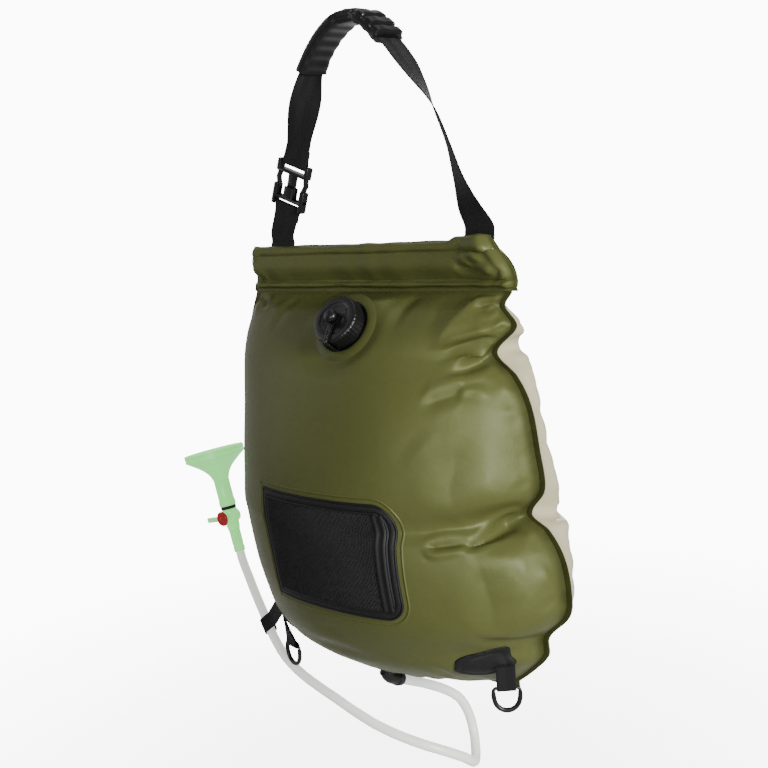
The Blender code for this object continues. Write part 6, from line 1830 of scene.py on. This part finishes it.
HOSE_START = HOSE_POINTS[0] - HOSE_START_RUN * 0.006
HOSE_END = HOSE_POINTS[-1] + HEAD_AXIS * 0.006


def hose_line(pieces):
    return [HOSE_START, *smooth_route(HOSE_POINTS, pieces, HOSE_START_RUN, HEAD_AXIS), HOSE_END]


def front_y(x, z):
    return float(front_depth(np.array([x]), z)[0])


def front_slope(x, z):
    step = 0.002
    across = (front_y(x + step, z) - front_y(x - step, z)) / (2 * step)
    down = (front_y(x, z + step) - front_y(x, z - step)) / (2 * step)
    return Vector((across, -1, down)).normalized()


OUTLET_CENTRE = Vector((OUTLET_X, front_y(OUTLET_X, OUTLET_Z), OUTLET_Z))
OUTLET_NORMAL = front_slope(OUTLET_X, OUTLET_Z)
OUTLET_SIDE = OUTLET_NORMAL.cross(Y_AXIS).normalized()
OUTLET_UP = OUTLET_NORMAL.cross(OUTLET_SIDE).normalized()


def build_hose():
    piece = curve_piece("hose_tube", hose_line(8), sizes().hose_radius)
    piece.data.splines[0].use_smooth = True
    settle(piece, "bag", "hose_vinyl", "hose")
    return piece


def elbow_line():
    """The elbow's route: straight out of the flange, round, and straight into the hose."""
    start = OUTLET_CENTRE + OUTLET_NORMAL * (OUTLET_FACE + GAP)
    end = HOSE_START - HOSE_START_RUN * GAP
    foot = start + OUTLET_NORMAL * 0.002
    tip = end - HOSE_START_RUN * 0.002
    turns = (foot, foot + OUTLET_NORMAL * 0.009, tip - HOSE_START_RUN * 0.009, tip)
    line = [start]
    for step in range(21):
        t = step / 20
        rest = 1 - t
        shares = (rest**3, 3 * t * rest**2, 3 * t**2 * rest, t**3)
        line.append(sum((place * share for place, share in zip(turns, shares)), Vector()))
    line.append(end)
    return line


def build_outlet():
    """The outlet's flange and the ringed elbow that leads into the hose."""
    matrix = frame_matrix(OUTLET_CENTRE, OUTLET_SIDE, OUTLET_UP, OUTLET_NORMAL)
    flange = soft_lathe("outlet_collar", OUTLET_PROFILE, 0.0006, 2, 72, matrix)
    settle(flange, "bag", "black_plastic", "outlet_flange")
    line = elbow_line()
    elbow = tube("elbow_pipe", line, ELBOW_RADIUS)
    collars = []
    for index in ELBOW_RINGS:
        ring = soft_lathe("elbow_collar", ELBOW_PROFILE, 0.0007, 3, 48)
        run = (line[index + 1] - line[index - 1]).normalized()
        turn = Z_AXIS.rotation_difference(run).to_matrix().to_4x4()
        collars.append(moved(ring, Matrix.Translation(line[index]) @ turn))
    elbow = joined("elbow_pipe", elbow, *collars)
    settle(elbow, "bag", "black_plastic", "outlet_elbow")


# Shower head, its profiles in millimetres

HEAD_MATRIX = frame_matrix(HOSE_END, Y_AXIS.cross(HEAD_AXIS), Y_AXIS, HEAD_AXIS)
TAP_HEIGHT = 0.0497
TAP_TOP = 0.0600
HEAD_FOOT = TAP_TOP + GAP + 0.0040 + GAP
HEAD_TOP = HEAD_FOOT + 0.078
BELL_FOOT = HEAD_FOOT + 0.036
BELL_TOP = HEAD_TOP - 0.010
BELL_WALL = 0.0018
BELL_NECK = 0.0105
RIM_RADIUS = 0.040
SEAT_Z = HEAD_TOP - 0.0040
BELL_SHARES = ((0, 0), (0.25, 0.10), (0.5, 0.30), (0.75, 0.62), (1, 1))
# (how far past the rim's radius, height over the bell's top) round the rim's outside
RIM_PROFILE = from_mm((0.6, 0.5), (0.6, 2.8), (0, 3.2), (0, 4), (0.6, 4.4), (0.6, 9.4), (0, 10))
BARREL_PROFILE = from_mm(
    (3.5, 0.3), (6.6, 0.3), (7.5, 1.2), (7.5, 8.5), (6.8, 9.2), (6.8, 10.5), (7.5, 11.2), (7.5, 30),
    (9.8, 44), (10, 59.2), (9.2, 60), (3.5, 60),
)
BOSS_PROFILE = from_mm((5.5, -10.8), (8.2, -10.8), (8.8, -10.2), (8.8, 10.2), (8.2, 10.8), (5.5, 10.8))
TAP_RINGS = ((0.0330, 0.0086), (0.0365, 0.0092))
BUTTON_PROFILE = from_mm((0, 2.2), (1.8, 2.2), (2.6, 3.2), (6.2, 3.4), (8.8, 3), (10, 1.8), (10, 0), (0, 0))
LEVER_Y = -0.0108 - GAP - 0.0015


def build_bell():
    """The hollow bell, turned from its rim down its outside and up its inside."""
    outer = [(BELL_NECK, HEAD_FOOT), (BELL_NECK + 0.0007, HEAD_FOOT + 0.0015)]
    outer += [(BELL_NECK + 0.0007, HEAD_FOOT + 0.0065), (BELL_NECK, HEAD_FOOT + 0.0080)]
    inner = [(BELL_NECK - BELL_WALL, HEAD_FOOT)]
    for step in range(17):
        share = step / 16
        radius = BELL_NECK + (RIM_RADIUS - BELL_NECK) * smooth_value(BELL_SHARES, share)
        height = BELL_FOOT + (BELL_TOP - BELL_FOOT) * share
        outer.append((radius, height))
        inner.append((radius - BELL_WALL, height + BELL_WALL * share))
    outer += [(RIM_RADIUS + past, BELL_TOP + height) for past, height in RIM_PROFILE]
    inner += [(RIM_RADIUS - 2 * BELL_WALL, SEAT_Z - 0.0008), (RIM_RADIUS - 2 * BELL_WALL, SEAT_Z)]
    inner += [(RIM_RADIUS - BELL_WALL, SEAT_Z), (RIM_RADIUS - BELL_WALL, HEAD_TOP)]
    return lathe("spray_bell", outer[::-1] + inner, 96, HEAD_MATRIX, closed=True)


def build_shower_head(hose):
    """The tap, the bell, the spray plate, the lever and its disc. The hose that it is given is not used."""
    barrel = soft_lathe("tap_barrel", BARREL_PROFILE, 0.0012)
    sideways = Matrix.Rotation(math.pi / 2, 4, "X")
    boss_place = Matrix.Translation((0, 0, TAP_HEIGHT)) @ sideways
    boss = soft_lathe("tap_boss", BOSS_PROFILE, 0.0005, 2, matrix=boss_place)
    rings = []
    for height, radius in TAP_RINGS:
        low, high, inner = height - 0.0008, height + 0.0008, radius - 0.002
        profile = [(inner, low), (radius, low), (radius, high), (inner, high)]
        rings.append(soft_lathe("tap_ring", profile, 0.0004, 2))
    tap = moved(joined("tap_barrel", barrel, boss, *rings), HEAD_MATRIX)
    settle(tap, "bag", "mint_plastic", "tap_body")
    bell_piece = build_bell()
    settle(bell_piece, "bag", "mint_plastic", "head_bell")
    rose = refined("rose_plate", "spray_plate", 0.0002)
    settle(rose, "bag", "mint_plastic", "rose_plate")
    lever = refined("tap_lever", "tap_handle_moulding", 0.0006)
    settle(lever, "tap_handle", "mint_plastic", "tap_lever")
    button_place = HEAD_MATRIX @ Matrix.Translation((0, LEVER_Y - 0.0015 - GAP, TAP_HEIGHT)) @ sideways
    button = soft_lathe("tap_button", BUTTON_PROFILE, 0.0006, matrix=button_place, closed=False)
    settle(button, "tap_handle", "red_plastic", "tap_cap")


# Stage

CAMERA_AZIMUTH = math.radians(40)
CAMERA_ELEVATION = math.radians(10.3)
CAMERA_ROLL = math.radians(4.6)
CAMERA_DISTANCE = 1.30
CAMERA_TARGET = Vector((0.002, 0, -0.4026))
SENSOR_WIDTH = 36
CAMERA_LENS = 1119 / 768 * SENSOR_WIDTH
FLOOR_Z = -0.96
BACKDROP_STRENGTH = 11.0
# Name, place, the place it shines at, power, width and height of each light
LIGHTS = (
    ("softbox_right", (2.2, -0.50, 0.00), (0.05, 0, -0.40), 80, 0.6, 1.0),
    ("softbox_left", (-1.9, -0.9, 0.2), (0, 0, -0.5), 6, 0.6, 1.8),
    ("softbox_front", (1.2, -2.3, -0.1), (0, 0, -0.45), 17, 0.8, 0.8),
    ("softbox_back", (-0.7, 2.3, 0.3), (0, 0, -0.45), 16, 1.0, 1.0),
    ("softbox_top", (0.0, 0.3, 2.2), (0, 0.1, -0.6), 9, 1.6, 1.6),
)


def build_camera():
    level = math.cos(CAMERA_ELEVATION)
    back = Vector(
        (level * math.sin(CAMERA_AZIMUTH), -level * math.cos(CAMERA_AZIMUTH), math.sin(CAMERA_ELEVATION))
    )
    right = Vector((math.cos(CAMERA_AZIMUTH), math.sin(CAMERA_AZIMUTH), 0))
    up = back.cross(right)
    turned_right = right * math.cos(CAMERA_ROLL) - up * math.sin(CAMERA_ROLL)
    turned_up = right * math.sin(CAMERA_ROLL) + up * math.cos(CAMERA_ROLL)
    data = bpy.data.cameras.new("photo_camera")
    data.lens = CAMERA_LENS
    data.sensor_width = SENSOR_WIDTH
    camera = linked("photo_camera", data)
    place = CAMERA_TARGET + back * CAMERA_DISTANCE
    camera.matrix_world = frame_matrix(place, turned_right, turned_up, back)
    bpy.context.scene.camera = camera


def add_light(name, place, target, power, width, height):
    data = bpy.data.lights.new(name, "AREA")
    data.energy = power
    data.shape = "RECTANGLE"
    data.size = width
    data.size_y = height
    lamp = linked(name, data)
    lamp.location = place
    lamp.rotation_euler = (Vector(target) - Vector(place)).to_track_quat("-Z", "Y").to_euler()


def light_world():
    """A white backdrop that lights the bag only weakly, a little more from behind."""
    world = bpy.data.worlds.new("studio_light")
    bpy.context.scene.world = world
    world.use_nodes = True
    tree = world.node_tree
    place = tree.nodes.new("ShaderNodeTexCoord").outputs["Generated"]
    behind = (-math.sin(CAMERA_AZIMUTH), math.cos(CAMERA_AZIMUTH), 0)
    facing = put(tree, "ShaderNodeVectorMath", {0: place, 1: behind}, operation="DOT_PRODUCT")
    facing = facing.outputs["Value"]
    strength = ranged(tree, facing, 0.35, 0.95, 0.22, 0.75, interpolation_type="SMOOTHSTEP")
    seen = tree.nodes.new("ShaderNodeLightPath").outputs["Is Camera Ray"]
    background = tree.nodes["Background"].inputs
    background["Color"].default_value = (1, 1, 1, 1)
    backdrop = product(tree, seen, BACKDROP_STRENGTH)
    feed(tree, background["Strength"], math_node(tree, "MAXIMUM", strength, backdrop))


def build_stage():
    select_only()
    bpy.ops.mesh.primitive_plane_add(size=9, location=(0, 0, FLOOR_Z))
    floor = named("studio_floor")
    bpy.ops.object.transform_apply()
    floor.data.materials.append(finish("stage"))
    light_world()
    for light in LIGHTS:
        add_light(*light)


# Nodes that keep their own shape

KEPT = {"support_rod": "rod_plastic", "cap_seal": "rubber", "tap_seal": "rubber"}


def dress_kept_nodes():
    for node, slot in KEPT.items():
        piece = NODES[node]
        piece.data.materials.clear()
        piece.data.materials.append(finish(slot))


class BagOperator:
    bl_options = {"REGISTER", "UNDO"}


class BAG_OT_camera(BagOperator, bpy.types.Operator):
    """Puts the camera where the bag is seen from its front right"""

    bl_idname = "shower_bag.camera"
    bl_label = "Camera"

    def execute(self, context):
        build_camera()
        return {"FINISHED"}


class BAG_OT_stage(BagOperator, bpy.types.Operator):
    """Lays the pale floor and hangs the soft lights"""

    bl_idname = "shower_bag.stage"
    bl_label = "Stage"

    def execute(self, context):
        build_stage()
        return {"FINISHED"}


class BAG_OT_hose_and_head(BagOperator, bpy.types.Operator):
    """Runs the hose and turns the shower head with its tap"""

    bl_idname = "shower_bag.hose_and_head"
    bl_label = "Hose and shower head"

    def execute(self, context):
        build_shower_head(build_hose())
        return {"FINISHED"}


class BAG_OT_panels(BagOperator, bpy.types.Operator):
    """Lays the filled front and back panels with their folds"""

    bl_idname = "shower_bag.panels"
    bl_label = "Panels"

    def execute(self, context):
        build_panels()
        return {"FINISHED"}


class BAG_OT_hem(BagOperator, bpy.types.Operator):
    """Folds the hem sleeve over its rod"""

    bl_idname = "shower_bag.hem"
    bl_label = "Hem"

    def execute(self, context):
        build_hem()
        return {"FINISHED"}


class BAG_OT_pocket(BagOperator, bpy.types.Operator):
    """Welds the net pocket on the front"""

    bl_idname = "shower_bag.pocket"
    bl_label = "Pocket"

    def execute(self, context):
        build_pocket()
        return {"FINISHED"}


class BAG_OT_corners(BagOperator, bpy.types.Operator):
    """Welds the corner patches and hangs the tabs, rings and hose band"""

    bl_idname = "shower_bag.corners"
    bl_label = "Corners"

    def execute(self, context):
        build_corners()
        return {"FINISHED"}


class BAG_OT_valve(BagOperator, bpy.types.Operator):
    """Turns the fill valve, its screw cap and its tether"""

    bl_idname = "shower_bag.valve"
    bl_label = "Fill valve"

    def execute(self, context):
        build_valve()
        return {"FINISHED"}


class BAG_OT_outlet(BagOperator, bpy.types.Operator):
    """Turns the outlet and bends its elbow"""

    bl_idname = "shower_bag.outlet"
    bl_label = "Outlet"

    def execute(self, context):
        build_outlet()
        return {"FINISHED"}


class BAG_OT_webbing(BagOperator, bpy.types.Operator):
    """Runs the carry webbing and its loops in the hem"""

    bl_idname = "shower_bag.webbing"
    bl_label = "Carry webbing"

    def execute(self, context):
        build_carry_webbing()
        return {"FINISHED"}


class BAG_OT_grip(BagOperator, bpy.types.Operator):
    """Moulds the grip with its raised blocks"""

    bl_idname = "shower_bag.grip"
    bl_label = "Grip"

    def execute(self, context):
        build_grip()
        return {"FINISHED"}


class BAG_OT_buckle(BagOperator, bpy.types.Operator):
    """Rounds the side-release buckle"""

    bl_idname = "shower_bag.buckle"
    bl_label = "Buckle"

    def execute(self, context):
        build_buckle()
        return {"FINISHED"}


class BAG_OT_kept_nodes(BagOperator, bpy.types.Operator):
    """Gives the rod and the seals their materials"""

    bl_idname = "shower_bag.kept_nodes"
    bl_label = "Rod and seals"

    def execute(self, context):
        dress_kept_nodes()
        return {"FINISHED"}


OPERATORS = (
    BAG_OT_camera,
    BAG_OT_hose_and_head,
    BAG_OT_panels,
    BAG_OT_hem,
    BAG_OT_pocket,
    BAG_OT_corners,
    BAG_OT_valve,
    BAG_OT_outlet,
    BAG_OT_webbing,
    BAG_OT_grip,
    BAG_OT_buckle,
    BAG_OT_kept_nodes,
    BAG_OT_stage,
)


class BAG_PT_pieces(bpy.types.Panel):
    """Lists the bag's pieces, sizes and colours"""

    bl_idname = "BAG_PT_pieces"
    bl_label = "Shower bag"
    bl_space_type = "VIEW_3D"
    bl_region_type = "UI"
    bl_category = "Shower bag"

    def draw(self, context):
        for operator in OPERATORS:
            self.layout.operator(operator.bl_idname)
        for group in (context.scene.bag_sizes, context.scene.bag_colours):
            for name in group.__annotations__:
                self.layout.prop(group, name)


CLASSES = (BagSizes, BagColours, *OPERATORS, BAG_PT_pieces)


def register():
    for made in CLASSES:
        bpy.utils.register_class(made)
    bpy.types.Scene.bag_sizes = bpy.props.PointerProperty(type=BagSizes)
    bpy.types.Scene.bag_colours = bpy.props.PointerProperty(type=BagColours)


def unregister():
    del bpy.types.Scene.bag_colours
    del bpy.types.Scene.bag_sizes
    for made in reversed(CLASSES):
        bpy.utils.unregister_class(made)


def main():
    register()
    for operator in OPERATORS:
        group, name = operator.bl_idname.split(".")
        getattr(getattr(bpy.ops, group), name)()


if __name__ == "__main__":
    main()
